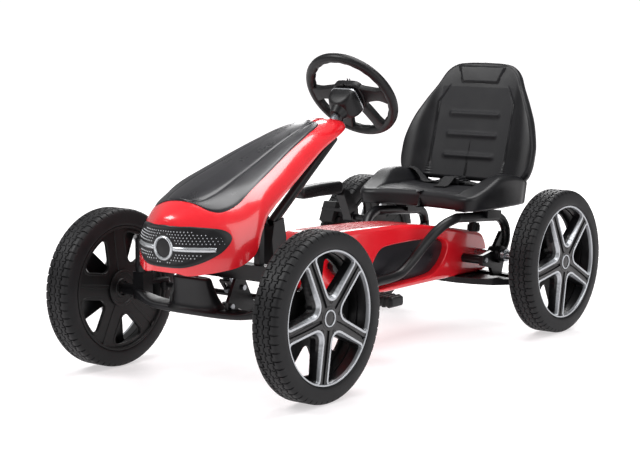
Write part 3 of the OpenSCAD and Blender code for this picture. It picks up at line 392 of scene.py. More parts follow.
def two_paints(name, attribute, dark, light, base, top, metallic=0.75):
    """One moulding in two paints: the mesh attribute is 0 on the plastic and 1 where the second paint
    lies."""
    material, tree, shader, place = start(name)
    paint = add(tree, "ShaderNodeAttribute", {"attribute_name": attribute}).outputs["Fac"]
    edge = levels(tree, paint, 0.42, 0.58, 0, 1)
    drift = grain(tree, place, 30, 3)
    plastic = ramp(tree, drift, [(0.3, dark), (0.7, light)])
    mixed = add(tree, "ShaderNodeMix", {"data_type": "RGBA"})
    tree.links.new(edge, mixed.inputs[0])
    tree.links.new(plastic, mixed.inputs[6])
    mixed.inputs[7].default_value = linear(top)
    tree.links.new(mixed.outputs[2], shader.inputs["Base Color"])
    tree.links.new(levels(tree, edge, 0, 1, 0, metallic), shader.inputs["Metallic"])
    tree.links.new(levels(tree, drift, 0.3, 0.7, base[0], base[1]), shader.inputs["Roughness"])
    bump(tree, shader, grain(tree, place, 2, 2), 0.03)
    return material


rim_paint = two_paints("satin black nylon with silver lacquer", "paint", "#0D0D0F", "#131315",
                       (0.3, 0.38), "#B5B8BC")


def weave_finish():
    """Polyester webbing: ribs 1.6 mm apart across the strap, crossed by a finer thread, with painted shade
    making it darker between the ribs."""
    material, tree, shader, place = start("woven polyester webbing, black")
    rib = 1.6
    wave = add(tree, "ShaderNodeTexWave", {"bands_direction": "Y"}, Vector=place,
               Scale=1 / (rib * MM) / 6.28 * 2)
    cross = add(tree, "ShaderNodeTexWave", {"bands_direction": "X"}, Vector=place,
                Scale=1 / (0.9 * MM) / 6.28 * 2)
    both = add(tree, "ShaderNodeMath", {"operation": "MULTIPLY"}, _0=wave.outputs["Fac"],
               _1=cross.outputs["Fac"])
    # the colour goes darker where the weave is low: painted shade between the ribs and threads, while the
    # bump below gives the real relief
    tree.links.new(ramp(tree, both.outputs[0], [(0.1, "#08080A"), (0.8, "#1D1D20")]),
                   shader.inputs["Base Color"])
    shader.inputs["Roughness"].default_value = 0.75
    bump(tree, shader, both.outputs[0], 0.5, 0.8)
    return material


webbing = weave_finish()


# %% [markdown]
# A painted or plated frame keeps its CAD shape: tubes, plates, bushes and gears are already right. Each
# only needs its finish, because a CAD piece comes with none.

# %% Finishes of the working parts
WORKING_PARTS = {
    powder: ["backbone_tube", "front_axle_beam", "column_mast", "rear_carrier", "crank_housing",
             "seat_slider", "brake_bracket", "brake_lever", "crankset", "knuckle_left", "knuckle_right",
             "tie_rod"],
    bush_nylon: ["column_bushes", "axle_bushes"],
    zinc: ["steering_shaft", "rear_sprocket", "chainring"],
    bright: ["frame_bolts", "rear_axle"],
    oiled: ["chain"],
    rubber: ["brake_shoe"],
}
for material, nodes in WORKING_PARTS.items():
    for node in nodes:
        mesh = frame["nodes"][node].data
        mesh.materials.clear()
        mesh.materials.append(material)
print(sum(len(nodes) for nodes in WORKING_PARTS.values()), "working parts have their finish")


# %% [markdown]
# The hood is one free-form shell. Its crest and its lower rim are two smooth curves down the nose, and
# between them each cross-section is part of a superellipse: squarer than a circle at the shoulders. So the
# whole skin is a function of two numbers, how far down the nose and how far round, and the black insert,
# the grille and the bar are patches of that same function, moved a little outwards.

# %% Hood surface
HOOD_HALF = (box_mm("hood_shell")[1][0] - box_mm("hood_shell")[0][0]) / 2
# distance behind the front axle, share of the half width, height of the rim, height of the crest
HOOD_ROWS = [
    (345, 0.18, 417, 426), (334, 0.28, 414, 430), (300, 0.39, 405, 432), (234, 0.52, 386, 422),
    (180, 0.62, 363, 407), (126, 0.73, 340, 389), (74, 0.83, 318, 370), (23, 0.92, 294, 352),
    (-2, 0.975, 268, 343), (-22, 1.0, 234, 336), (-50, 0.93, 216, 326), (-75, 0.77, 208, 316),
    (-94, 0.58, 203, 305), (-107, 0.40, 200, 295), (-112.5, 0.24, 203, 286),
]
HOOD_POWER = 2 / 2.3


def hood_point(row, turn, grow=0.0):
    """A point of the hood: row numbers (behind, share, rim, crest) and an angle of 0 to pi over the
    crest from left to right."""
    c, s = np.cos(turn), np.sin(turn)
    x = np.sign(c) * np.abs(c) ** HOOD_POWER * (row[..., 1] * HOOD_HALF + grow)
    z = row[..., 2] + (row[..., 3] + grow - row[..., 2]) * np.abs(s) ** HOOD_POWER
    return np.stack(np.broadcast_arrays(x, front_y + row[..., 0], z), -1)


def even_turns(count):
    """Angles that keep the points of a superellipse evenly spread: dense where the curve is slow."""
    u = np.linspace(0, 1, count)
    fine = np.linspace(0, math.pi, 2000)
    x = np.sign(np.cos(fine)) * np.abs(np.cos(fine)) ** HOOD_POWER
    z = np.abs(np.sin(fine)) ** HOOD_POWER * 0.9
    run = np.concatenate([[0], np.cumsum(np.hypot(np.diff(x), np.diff(z)))])
    return np.interp(u * run[-1], run, fine)


hood_rows = smooth_line(HOOD_ROWS, 8)
hood_turns = even_turns(97)
hood_skin = hood_point(hood_rows[:, None], hood_turns[None])
print("hood grid", hood_skin.shape)


# %% Hood shell
def nose_cap(skin):
    """The front end closed: each point of the last ring runs to the middle of its foot, with a slight
    bulge forward."""
    ring = skin[-1]
    foot = np.array([0, ring[0, 1], ring[:, 2].min()])
    share = np.linspace(0, 1, 7)[1:, None, None]
    dome = ring[None] + (foot - ring)[None] * share
    dome[..., 1] -= 0.5 * np.sqrt(1 - (1 - share[..., 0]) ** 2)
    return dome


def thick_sheet(grid, thickness):
    """A sheet with a wall: the grid, and a copy moved inwards along its normals, joined round the edge."""
    across = np.gradient(grid, axis=1)
    down = np.gradient(grid, axis=0)
    normal = np.cross(down, across)
    length = np.linalg.norm(normal, axis=-1, keepdims=True)
    normal = normal / np.where(length < 1e-6, 1, length)
    inner = grid - normal * thickness
    rows, columns = grid.shape[:2]
    count = rows * columns
    faces = grid_quads(rows, columns).tolist()
    faces += (grid_quads(rows, columns)[:, ::-1] + count).tolist()
    edge = np.concatenate([
        np.arange(columns), np.arange(1, rows) * columns + columns - 1,
        (rows - 1) * columns + np.arange(columns - 2, -1, -1), np.arange(rows - 2, 0, -1) * columns,
    ])
    after = np.roll(edge, -1)
    faces += np.stack([edge, edge + count, after + count, after], 1).tolist()
    return np.concatenate([grid.reshape(-1, 3), inner.reshape(-1, 3)]), faces


def facing(grid, towards):
    """The sign that makes a sheet's thickness go away from the given direction at its middle."""
    normal = np.cross(np.gradient(grid, axis=0), np.gradient(grid, axis=1))
    return 1 if normal[len(grid) // 2, grid.shape[1] // 2] @ np.array(towards, float) > 0 else -1


full_skin = np.concatenate([hood_skin, nose_cap(hood_skin)])
side = facing(full_skin, (0, 0, 1))
piece("hood_shell", thick_sheet(full_skin, side * 2.5), red_abs, "chassis", ["hood_shell"], 50)


# %% [markdown]
# The black insert lies on the crest like a tongue. Its outline gives a half width for each distance down
# the nose, so a patch of the hood's own function is stretched between those edges. Two creases run down
# it, and its rim is rounded off by letting the outermost points sink back to the red skin.

# %% Black insert
PANEL_EDGE = [(270, 14), (262, 26), (245, 34), (206, 43), (150, 54), (72, 70), (10, 81), (-28, 82),
              (-54, 74), (-68, 58), (-73, 38), (-75, 14)]


def skin_at(behind, x, grow):
    """The hood's height over given distances behind the axle and across: the superellipse solved for z."""
    order = np.argsort(hood_rows[:, 0])
    row = np.stack([np.interp(behind, hood_rows[order, 0], hood_rows[order, k]) for k in range(4)], -1)
    share = np.clip(np.abs(x) / (row[..., 1] * HOOD_HALF + grow), 0, 1)
    rise = (1 - share ** (2 / HOOD_POWER)) ** (HOOD_POWER / 2)
    return row[..., 2] + (row[..., 3] + grow - row[..., 2]) * rise


edge_line = smooth_line(PANEL_EDGE, 12)
share = np.linspace(-1, 1, 73)
behind = np.repeat(edge_line[:, :1], len(share), 1)
x = edge_line[:, 1:] * share
crease = 0.9 * np.exp(-(((np.abs(share) - 0.52) / 0.035) ** 2))
dome = 2.4 * np.clip(1 - np.abs(share) / 0.52, 0, 1) ** 0.6
edge_fall = np.clip((1 - np.abs(share)) / 0.05, 0, 1) ** 0.5
from_front = np.arange(len(edge_line))
ends = np.clip(np.minimum(from_front, from_front[::-1]) / 5, 0, 1)[:, None] ** 0.5
lift = (0.3 + 1.5 * edge_fall * ends) + (dome - crease) * ends * edge_fall
panel_skin = np.stack([x, front_y + behind, skin_at(behind, x, 0.0) + lift], -1)
piece("hood_insert", thick_sheet(panel_skin, facing(panel_skin, (0, 0, 1)) * 1.2), black_abs, "chassis",
              ["hood_panel"], 60)


# %% [markdown]
# The grille is a shallow shield on the nose, full of rows of little bright pins, with a bar across it and
# a plain ring in the middle. The shield is found on the hood by pushing points straight back onto it.

# %% Grille
def nose_at(x, z, grow=0.0):
    """How far forward the hood reaches at a given x and height: the front-most row whose section covers
    it."""
    rows = smooth_line(HOOD_ROWS, 40)
    rows = rows[rows[:, 0] < 60]
    reach = np.full(x.shape, rows[0, 0])
    for row in rows:
        half = row[1] * HOOD_HALF + grow
        u = np.clip(np.abs(x) / half, 0, 1)
        top = row[2] + (row[3] + grow - row[2]) * (1 - u ** (2 / HOOD_POWER)) ** (HOOD_POWER / 2)
        covered = (np.abs(x) < half) & (z < top) & (z > row[2] - 2)
        reach = np.where(covered, row[0], reach)
    return front_y + reach - grow


GRILLE = [(0, 281), (66, 278), (90, 272), (98, 258), (89, 238), (66, 222), (38, 213), (0, 211), (-38, 213),
          (-66, 222), (-89, 238), (-98, 258), (-90, 272), (-66, 278)]
GRILLE_MIDDLE = np.array([0.0, 248.0])
outline = smooth_line(GRILLE, 8, closed=True)
rings = 26
spread = np.linspace(0, 1, rings)[:, None, None]
flat = GRILLE_MIDDLE + (outline - GRILLE_MIDDLE)[None] * spread
rim_roll = np.clip((1 - spread[..., 0]) / 0.07, 0, 1)
depth = nose_at(flat[..., 0], flat[..., 1])
for _ in range(3):  # the sections are steps, so neighbours are averaged round each ring
    depth[1:] = (depth[1:] + np.roll(depth[1:], 1, 1) + np.roll(depth[1:], -1, 1)) / 3
raised = 0.4 + 2.2 * rim_roll**0.5 - 1.0 * np.clip((0.9 - spread[..., 0]) / 0.05, 0, 1)
grille_skin = np.stack([flat[..., 0], depth - raised, flat[..., 1]], -1)
grille_points = grille_skin.reshape(-1, 3)
piece("grille", (grille_points, grid_quads(rings, len(outline), wrap_columns=True).tolist()), grille_abs,
               "chassis", ["grille_panel"], 40, recalc=False)
print("grille reaches", round(grille_points[:, 1].min(), 1))


# %% Grille pins, bar and badge
def pins_on(flat_points, radius, height):
    """Many small four-sided pins with a flat head standing on the nose, as one array of points and one
    of faces."""
    base = nose_at(flat_points[:, 0], flat_points[:, 1]) - 1.2
    ring = np.array([(1, 0), (0, 1), (-1, 0), (0, -1)]) * radius
    foot = np.stack([flat_points[:, None, 0] + ring[None, :, 0], np.repeat(base[:, None], 4, 1) + 1.5,
                     flat_points[:, None, 1] + ring[None, :, 1]], -1)
    head = foot.copy()
    head[..., 1] -= 1.5 + height
    points = np.concatenate([foot, head], 1).reshape(-1, 3)
    start_at = np.arange(len(flat_points))[:, None, None] * 8
    sides = np.array([[0, 1, 5, 4], [1, 2, 6, 5], [2, 3, 7, 6], [3, 0, 4, 7], [4, 5, 6, 7], [3, 2, 1, 0]])
    return points, (start_at + sides[None]).reshape(-1, 4).tolist()


PIN_STEP = 5.4
BADGE_R = 20
GRILLE_Z = 243
bar_half = 84
across, tall = np.meshgrid(np.arange(-17, 18) * PIN_STEP, np.arange(-6, 7) * PIN_STEP * 0.86 + GRILLE_Z)
across[1::2] += PIN_STEP / 2
spots = np.stack([across.ravel(), tall.ravel()], 1)
room = 1 - np.abs(spots[:, 0]) / 93
low_edge, high_edge = 219 + 26 * (1 - room) ** 2, 276 - 16 * (1 - room) ** 2
inside = (room > 0) & (spots[:, 1] > low_edge) & (spots[:, 1] < high_edge)
inside &= np.abs(spots[:, 1] - GRILLE_Z) > 6
inside &= np.hypot(spots[:, 0], spots[:, 1] - GRILLE_Z) > BADGE_R + 4
piece("grille_pins", pins_on(spots[inside], 1.1, 1.1), silver, "chassis", crease=30)


def nose_strip(x0, x1, z0, z1, stand):
    """A raised strip across the nose, rounded like half an ellipse from its lower to its upper edge."""
    x = np.linspace(x0, x1, 40)[:, None] * np.ones((1, 13))
    turn = np.linspace(0, math.pi, 13)[None]
    z = (z0 + z1) / 2 - (z1 - z0) / 2 * np.cos(turn) * np.ones_like(x)
    y = nose_at(x, z) - 0.8 - stand * np.sin(turn)
    return loft(np.stack([x, y, z], -1))


bars = merge(nose_strip(-bar_half, -BADGE_R - 1, GRILLE_Z - 4, GRILLE_Z + 4, 3.2),
             nose_strip(BADGE_R + 1, bar_half, GRILLE_Z - 4, GRILLE_Z + 4, 3.2))
piece("grille_bar", bars, silver, "chassis", ["grille_bar"], 50)

nose_front = front_y - 112.5


def lathe(profile, steps, place):
    """A profile of (height, radius) pairs turned round its axis; place maps height and two side
    coordinates to 3-D."""
    turn = np.linspace(0, 2 * math.pi, steps, endpoint=False)
    profile = np.asarray(profile, float)
    height = np.repeat(profile[:, :1], steps, 1)
    u = profile[:, 1:] * np.cos(turn)
    v = profile[:, 1:] * np.sin(turn)
    return loft(place(height, u, v))


def badge_place(height, u, v):
    """Badge coordinates (forwards, across, up) to the kart's."""
    return np.stack([u, nose_front - height, v + GRILLE_Z], -1)


badge = lathe([(0, 20.4), (2.4, 20.6), (4.6, 20.0), (5.6, 18.6), (5.2, 16.8), (3.4, 15.8), (1.0, 15.2)],
              64, badge_place)
piece("nose_badge_ring", badge, silver, "chassis", ["nose_badge"], 40)
disc = lathe([(0.8, 15.6), (2.6, 15.4), (3.2, 8), (3.5, 0.1)], 64, badge_place)
piece("nose_badge_disc", disc, grille_abs, "chassis", crease=40)


# %% [markdown]
# The tyres are foamed EVA, moulded in one piece with a mock tread: some sixty cross grooves cut the
# shoulders, and stepped grooves run round between rows of little blocks. The tyre's section is turned
# round the axle, and the tread is a height taken off the radius, worked out from the angle and from how
# far across the tread a point lies.

# %% Tyres
TREADS = 60
tyre_half = tyre_w / 2


def tyre_profile():
    """Half sections of the tyre from bead to bead: (across, radius), with the step line on the sidewall."""
    side_wall = [(-tyre_half + 2.2, rim_r - 1), (-tyre_half + 0.7, rim_r + 1.0),
                 (-tyre_half + 0.2, rim_r + 3), (-tyre_half + 0.2, rim_r + 9),
                 (-tyre_half + 0.5, rim_r + 14), (-tyre_half + 1.4, rim_r + 19)]
    shoulder = np.linspace(0, 1, 9)[1:]
    curve = [(-tyre_half + 1.4 + 9 * t**1.5, rim_r + 19 + (wheel_r - rim_r - 19) * (1 - (1 - t) ** 2.2))
             for t in shoulder]
    tread = [(x, wheel_r) for x in np.linspace(-tyre_half + 10.8, 0, 19)]
    half = np.array(side_wall + curve + tread)
    return np.concatenate([half, (half * [-1, 1])[-2::-1]])


def tread_depth(across, turn):
    """Millimetres taken off the radius: a slit between shoulder bars, two stepped grooves round, and one
    down the middle."""
    phase = turn / (2 * math.pi) * TREADS
    out = np.abs(across)
    from_slit = np.abs(phase % 1 - 0.5)
    slit = np.clip((0.085 - from_slit) / 0.035, 0, 1) * np.clip((out - 12.0) / 1.0, 0, 1)
    step = np.where((phase % 1) < 0.5, 1.3, -1.3)
    ring = np.clip((1.3 - np.abs(out - 11.6 - step)) / 0.5, 0, 1)
    middle = np.clip((1.1 - np.abs(across - 0.8 * step)) / 0.5, 0, 1)
    notch = np.clip((0.07 - np.abs((phase + 0.25) % 1 - 0.5)) / 0.03, 0, 1)
    notch = notch * np.clip((3.2 - np.abs(out - 7.4)) / 0.8, 0, 1)
    return 2.4 * np.maximum(np.maximum(slit, ring), np.maximum(middle, 0.7 * notch))


def tyre_shape(side, y):
    """The tyre of one wheel; side is 1 on the left of the kart and -1 on the right."""
    profile = tyre_profile()
    # places within one bar, crowded where the slit and the steps have their edges
    places = np.array([0.02, 0.12, 0.18, 0.22, 0.25, 0.28, 0.33, 0.41, 0.45, 0.48, 0.52, 0.55, 0.59, 0.70,
                       0.85, 0.98])
    turn = ((np.arange(TREADS)[:, None] + places[None]).reshape(1, -1)) / TREADS * 2 * math.pi
    across, radius = profile[:, :1], profile[:, 1:]
    worn = np.clip((radius - (rim_r + 20)) / 5, 0, 1)
    r = radius - tread_depth(across, turn) * worn
    x = side * (track / 2 + across * np.ones_like(turn))
    points = np.stack([x, y + r * np.sin(turn), wheel_r + r * np.cos(turn)], -1)
    return points.reshape(-1, 3), grid_quads(len(profile), turn.size, wrap_columns=True).tolist()


WHEELS = {
    "front_left": (1, front_y, "wheel_front_left"), "front_right": (-1, front_y, "wheel_front_right"),
    "rear_left": (1, rear_y, "axle_and_left_wheel"), "rear_right": (-1, rear_y, "wheel_rear_right"),
}
for name, (side, y, body) in WHEELS.items():
    piece(f"tyre_{name}", tyre_shape(side, y), foam, body, [f"tyre_{name}"], 30)


# %% [markdown]
# The rims are two moulded halves, each a disc with five windows. One window is a closed outline over the
# hub: a round corner, two straight sides and an outer arc. A fifth of the disc is then a grid of rows
# round that window, from the wall inside it, over the bevel and the silver line, to the groove along
# the middle of the spoke. A mesh attribute called paint says where the silver lacquer lies.

# %% Rim tools
SPOKE_TURNS = [-27 + 72 * k for k in range(5)]
HALF_SECTOR = 36
lip_r = rim_r - 1.0


def on_wheel(side, y):
    """Wheel coordinates (right as seen from outside, up, outwards from the wheel's middle) to the
    kart's."""
    def put(flat, height):
        flat = np.asarray(flat)
        height = np.broadcast_to(height, flat.shape[:-1])
        return np.stack([side * (track / 2 + height), y + side * flat[..., 0], wheel_r + flat[..., 1]], -1)
    return put


def turned(flat, degrees):
    """Flat points turned clockwise from straight up, as a clock's hand."""
    a = math.radians(degrees)
    c, s = math.cos(a), math.sin(a)
    return np.asarray(flat) @ np.array([[c, -s], [s, c]])


def wheel_lathe(profile, steps, put):
    """A profile of (outwards, radius) turned round the axle, its last point joined to its first."""
    turn = np.linspace(0, 2 * math.pi, steps, endpoint=False)[None]
    profile = np.asarray(profile, float)
    r = profile[:, 1:]
    flat = np.stack([r * np.sin(turn), r * np.cos(turn)], -1)
    points = put(flat, profile[:, :1] * np.ones_like(turn))
    return points.reshape(-1, 3), grid_quads(len(profile), steps, wrap_rows=True,
                                             wrap_columns=True).tolist()


def arc_points(centre, radius, start_at, end_at, count):
    """Points on a circle between two angles, in degrees from the right-hand side."""
    a = np.radians(np.linspace(start_at, end_at, count))
    return np.array(centre) + radius * np.stack([np.cos(a), np.sin(a)], 1)


def window_outline(spoke_half, corner_r, outer_r, tight_r=5.0):
    """The opening between two spokes, standing over the hub; spoke_half is half a spoke's width."""
    near = (spoke_half + corner_r) / math.sin(math.radians(HALF_SECTOR))
    lean = HALF_SECTOR - math.degrees(math.asin((spoke_half + tight_r) / (outer_r - tight_r)))
    corner = (outer_r - tight_r) * np.array([math.sin(math.radians(lean)), math.cos(math.radians(lean))])
    right = np.concatenate([arc_points((0, near), corner_r, -90, -HALF_SECTOR, 10),
                            arc_points(corner, tight_r, 1 - HALF_SECTOR, 89 - lean, 6),
                            arc_points((0, 0), outer_r, 90 - lean, 90, 14)])
    return np.concatenate([right, right[-2:0:-1] * [-1, 1]])


def sector(put, degrees, window, rows):
    """A fifth of the disc round one window. A row is (millimetres outside the window, or inside the
    sector's edge when edge is set, edge, height)."""
    middle = np.array([0.0, 0.62 * lip_r])
    hole = by_direction(dense(window, 8), middle, 180)
    rim_arc = arc_points((0, 0), lip_r - 1.0, 90 - HALF_SECTOR, 90 + HALF_SECTOR, 40)
    edge_line = by_direction(dense(np.concatenate([[[0.0, 0.0]], rim_arc]), 40), middle, 180)
    back = hole - edge_line
    gap = np.linalg.norm(back, axis=1, keepdims=True)
    rings = []
    for amount, edge, height in rows:
        flat = edge_line + back / gap * np.minimum(amount, gap * 0.8) if edge else inset(hole, -amount)
        rings.append(put(turned(flat, degrees), np.ravel(height)[: len(flat)]))
    rings = np.stack(rings)
    return rings.reshape(-1, 3), grid_quads(len(rings), rings.shape[1], True, True).tolist()


# %% Rims
FACE = tyre_half - 3.4
OUTER_WINDOW = window_outline(12, 16, lip_r - 4.2)
BACK_WINDOW = window_outline(24, 12, lip_r - 12, 8)


def rim_shape(side, y):
    """Points, faces and paint of one outer rim half."""
    put = on_wheel(side, y)
    hole = by_direction(dense(OUTER_WINDOW, 8), np.array([0.0, 0.62 * lip_r]), 180)
    bevel = (1.2 + 6.2 * np.clip((100 - np.hypot(*hole.T)) / 68, 0, 1))[:, None]
    rows = [(-bevel, False, 3.0), (-bevel, False, FACE - 10), (-0.4, False, FACE - 1.0), (0.0, False, FACE),
            (3.4, False, FACE), (3.8, False, FACE - 0.9), (4.6, True, FACE - 0.9), (3.4, True, FACE - 0.3),
            (2.6, True, FACE - 3.6), (0.0, True, FACE - 3.6), (0.0, True, 3.0)]
    row_paint = [0, 0, 1, 1, 1, 0, 0, 0, 0, 0, 0]
    barrel = [(0.2, lip_r), (tyre_half - 3.0, lip_r), (tyre_half - 1.8, lip_r - 0.5),
              (FACE - 0.4, lip_r - 0.8), (FACE - 2.0, lip_r - 3.4), (3.0, lip_r - 4.4), (0.2, lip_r - 4.4)]
    band = [(FACE - 2.5, lip_r - 4.2), (FACE + 0.1, lip_r - 4.1), (FACE + 0.7, lip_r - 3.6),
            (FACE + 0.7, lip_r - 1.4), (FACE, lip_r - 0.9), (FACE - 2.5, lip_r - 0.8)]
    parts = [wheel_lathe(barrel, 144, put), wheel_lathe(band, 144, put)]
    paint = [np.zeros(len(barrel) * 144), np.ones(len(band) * 144)]
    for degrees in SPOKE_TURNS:
        parts.append(sector(put, degrees + HALF_SECTOR, OUTER_WINDOW, rows))
        paint.append(np.repeat(np.array(row_paint, float), 180))
        centre = turned(np.array([[0, 26.5]]), degrees + HALF_SECTOR)[0]
        circle = arc_points((0, 0), 1.0, 0, 337.5, 16)
        recess = ((-2, 3.4), (-0.4, 3.4), (-0.2, 3.0), (-0.5, 2.3), (-2, 2.1))
        rings = [put(centre + circle * r, FACE + h) for h, r in recess]
        parts.append(loft(rings))
        paint.append(np.zeros(5 * 16))
    hub = [(3, 0.5), (3, 20), (FACE - 1.2, 20.4), (FACE - 0.2, 19.4), (FACE, 15.4), (FACE - 0.8, 14.6),
           (FACE + 0.7, 14.2), (FACE + 1.2, 13.6), (FACE + 1.2, 12.3), (FACE + 0.7, 11.6),
           (FACE - 0.4, 11.4), (FACE, 6), (FACE + 0.2, 0.5)]
    parts.append(wheel_lathe(hub, 64, put))
    paint.append(np.repeat([0, 0, 0, 0, 0, 0, 1, 1, 1, 1, 0, 0, 0.0], 64))
    points, faces = merge(*parts)
    return points, faces, np.concatenate(paint)


def back_shape(side, y):
    """The inner rim half: a barrel, a web whose windows lie behind the outer spokes, and a round boss."""
    put = on_wheel(side, y)
    low, top = -tyre_half + 4, -tyre_half + 10
    barrel = [(-0.2, lip_r), (-tyre_half + 3.0, lip_r), (-tyre_half + 1.2, lip_r - 0.6),
              (-tyre_half + 0.6, lip_r - 2.2), (-tyre_half + 1.0, lip_r - 4.5),
              (-tyre_half + 4, lip_r - 6), (-0.2, lip_r - 6.5)]
    rows = [(0.0, False, top), (0.0, False, low + 1.2), (1.2, False, low), (4.0, False, low),
            (5.0, False, low + 1.0), (4.0, True, low + 1.0), (3.0, True, low), (0.0, True, low),
            (0.0, True, top)]
    parts = [wheel_lathe(barrel, 144, put)]
    for degrees in SPOKE_TURNS:
        parts.append(sector(put, degrees, BACK_WINDOW, rows))
        notch = turned(rounded_rectangle(9, 5, 1.5) + [0, lip_r - 5.5], degrees + HALF_SECTOR)
        parts.append(loft([put(notch, h) for h in (low, -tyre_half + 1.6, -tyre_half + 1.2)]))
    boss = [(0, 12), (0, 30), (low, 31), (-tyre_half + 1.6, 32.5), (-tyre_half + 0.8, 31.5),
            (-tyre_half + 0.8, 27), (-tyre_half + 2.2, 26), (-tyre_half + 2.2, 18),
            (-tyre_half + 0.9, 17), (-tyre_half + 0.9, 13), (-tyre_half + 5, 12.4)]
    parts.append(wheel_lathe(boss, 48, put))
    return merge(*parts)


for name, (side, y, body) in WHEELS.items():
    points, faces, paint = rim_shape(side, y)
    rim = piece(f"rim_{name}", (points, faces), rim_paint, body, [f"rim_{name}"], 28)
    layer = rim.data.attributes.new("paint", "FLOAT", "POINT")
    layer.data.foreach_set("value", paint.astype(np.float32))
    piece(f"rim_back_{name}", back_shape(side, y), back_abs, body, [f"rim_back_{name}"], 30)


# %% [markdown]
# The steering wheel is a soft grip moulded over a ring, with shallow waves for the fingers on its inner
# side. Everything on it is made in the wheel's own plane and then set on the leaning shaft, whose place
# and direction are those of the steering joint.

# %% Steering wheel
steer = joints["steering_turn"]
steer_place = np.array(steer["pos_m"]) / MM
column = np.array(steer["axis"])
down_back = np.array([0, column[2], -column[1]])
STEER_R = (box_mm("steering_wheel")[1][0] - box_mm("steering_wheel")[0][0]) / 2
GRIP_R = 9.5


def on_column(points):
    """Wheel coordinates (across, down and back, up the shaft) to the kart's."""
    points = np.asarray(points, float)
    across, down, up = points[..., :1], points[..., 1:2], points[..., 2:]
    return steer_place + across * np.array([1.0, 0, 0]) + down * down_back + up * column


def grip_ring():
    """A torus whose tube swells inwards in waves for the fingers, and is a little flatter at the back."""
    turn = np.linspace(0, 2 * math.pi, 240, endpoint=False)[:, None]
    tube_turn = np.linspace(0, 2 * math.pi, 28, endpoint=False)[None]
    wave = 0.9 * np.clip(-np.cos(tube_turn), 0, 1) * (0.5 - 0.5 * np.cos(24 * turn))
    seam = 0.5 * np.exp(-((np.sin(tube_turn) - 0.0) / 0.09) ** 2) * (np.cos(tube_turn) > 0)
    r = GRIP_R - wave - seam
    ring = STEER_R - GRIP_R + r * np.cos(tube_turn)
    points = np.stack([ring * np.sin(turn), ring * np.cos(turn), r * 0.96 * np.sin(tube_turn) + 0 * turn],
                      -1)
    return on_column(points).reshape(-1, 3), grid_quads(240, 28, True, True).tolist()


def flat_part(outline, low, high, radius):
    """A rounded plate lying in the wheel's plane."""
    def put(flat, height):
        return on_column(np.concatenate([flat, np.full((len(flat), 1), height)], 1))
    return rounded_plate(np.asarray(outline, float), low, high, radius, put)


def both_sides(points):
    """A half outline on +x, listed from the top down, mirrored to a whole one."""
    points = np.asarray(points, float)
    return np.concatenate([points, points[::-1] * [-1, 1]])


side_spoke = smooth_line([(12, -21), (40, -19), (62, -16), (81, -17), (83, 0), (80, 15), (62, 9),
                          (40, 12), (14, 20)], 4, closed=True)
low_spoke = smooth_line([(4, 18), (24, 20), (33, 34), (42, 56), (50, 69), (40, 75), (28, 79), (22, 62),
                         (14, 42)], 4, closed=True)
hub_plate = smooth_line(both_sides([(0, -30), (20, -29), (30, -20), (32, 0), (26, 20), (12, 31)]), 5,
                        closed=True)
spokes = [flat_part(outline * [side, 1], -7.5, 5.5, 3.0) for outline in (side_spoke, low_spoke)
          for side in (1, -1)]
cushion = flat_part(smooth_line(both_sides([(0, -24), (18, -22), (24, -10), (24, 8), (16, 22), (0, 25)]),
                                5, closed=True), 4, 11.5, 4)
wheel_parts = merge(grip_ring(), flat_part(hub_plate, -9, 6.5, 3.5), cushion, *spokes)
piece("steering_wheel", wheel_parts, grip_pp, "steering", ["steering_wheel"], 40)


# %% [markdown]
# Below the wheel a tapered housing hides the clamp on the shaft. It starts as a rounded box and ends as a
# round collar, so its sections change from one outline to the other on the way down.

# %% Wheel housing and shaft collar
def blend_outline(square_w, square_h, power, count=48):
    """A superellipse outline: power 2 is an ellipse and higher powers are squarer."""
    turn = np.linspace(0, 2 * math.pi, count, endpoint=False)
    c, s = np.cos(turn), np.sin(turn)
    return np.stack([np.sign(c) * np.abs(c) ** (2 / power) * square_w,
                     np.sign(s) * np.abs(s) ** (2 / power) * square_h], 1)


housing_rows = smooth_line([(-9.5, 25, 24, 5), (-14, 27, 26, 6), (-26, 27, 26, 6), (-36, 25, 24, 5.5),
                            (-44, 21.5, 21, 3.4), (-47.5, 19, 19, 2.4), (-49, 17.2, 17.2, 2),
                            (-50, 16.6, 16.6, 2), (-60, 13.2, 13.2, 2), (-62, 12.4, 12.4, 2)], 4)
housing_rings = []
for height, w, h, power in housing_rows:
    flat = blend_outline(w, h, power)
    housing_rings.append(on_column(np.concatenate([flat, np.full((len(flat), 1), height)], 1)))
piece("wheel_housing", loft(housing_rings), grip_pp, "steering", ["wheel_boss"], 45)
trim_rows = [(-15.2, 27.2, 26.2, 6), (-15.2, 27.9, 26.9, 6), (-17.4, 27.9, 26.9, 6), (-17.4, 27.2, 26.2, 6)]
trim_rings = [on_column(np.concatenate([blend_outline(w, h, p), np.full((48, 1), z)], 1))
              for z, w, h, p in trim_rows]
piece("housing_trim_line", loft(trim_rings), silver, "steering", crease=30)


# %% [markdown]
# The seat is two hollow mouldings of polypropylene: a base with a rolled front lip and a raised bolster on
# each side, and a back with wings. The middle is grained against slipping and the bolsters are smooth, with
# a moulded seam between. Each half is a grid of rings inside its outline. Its height over the outline is a
# function, so the seams and the ridges are simply small terms of that function.

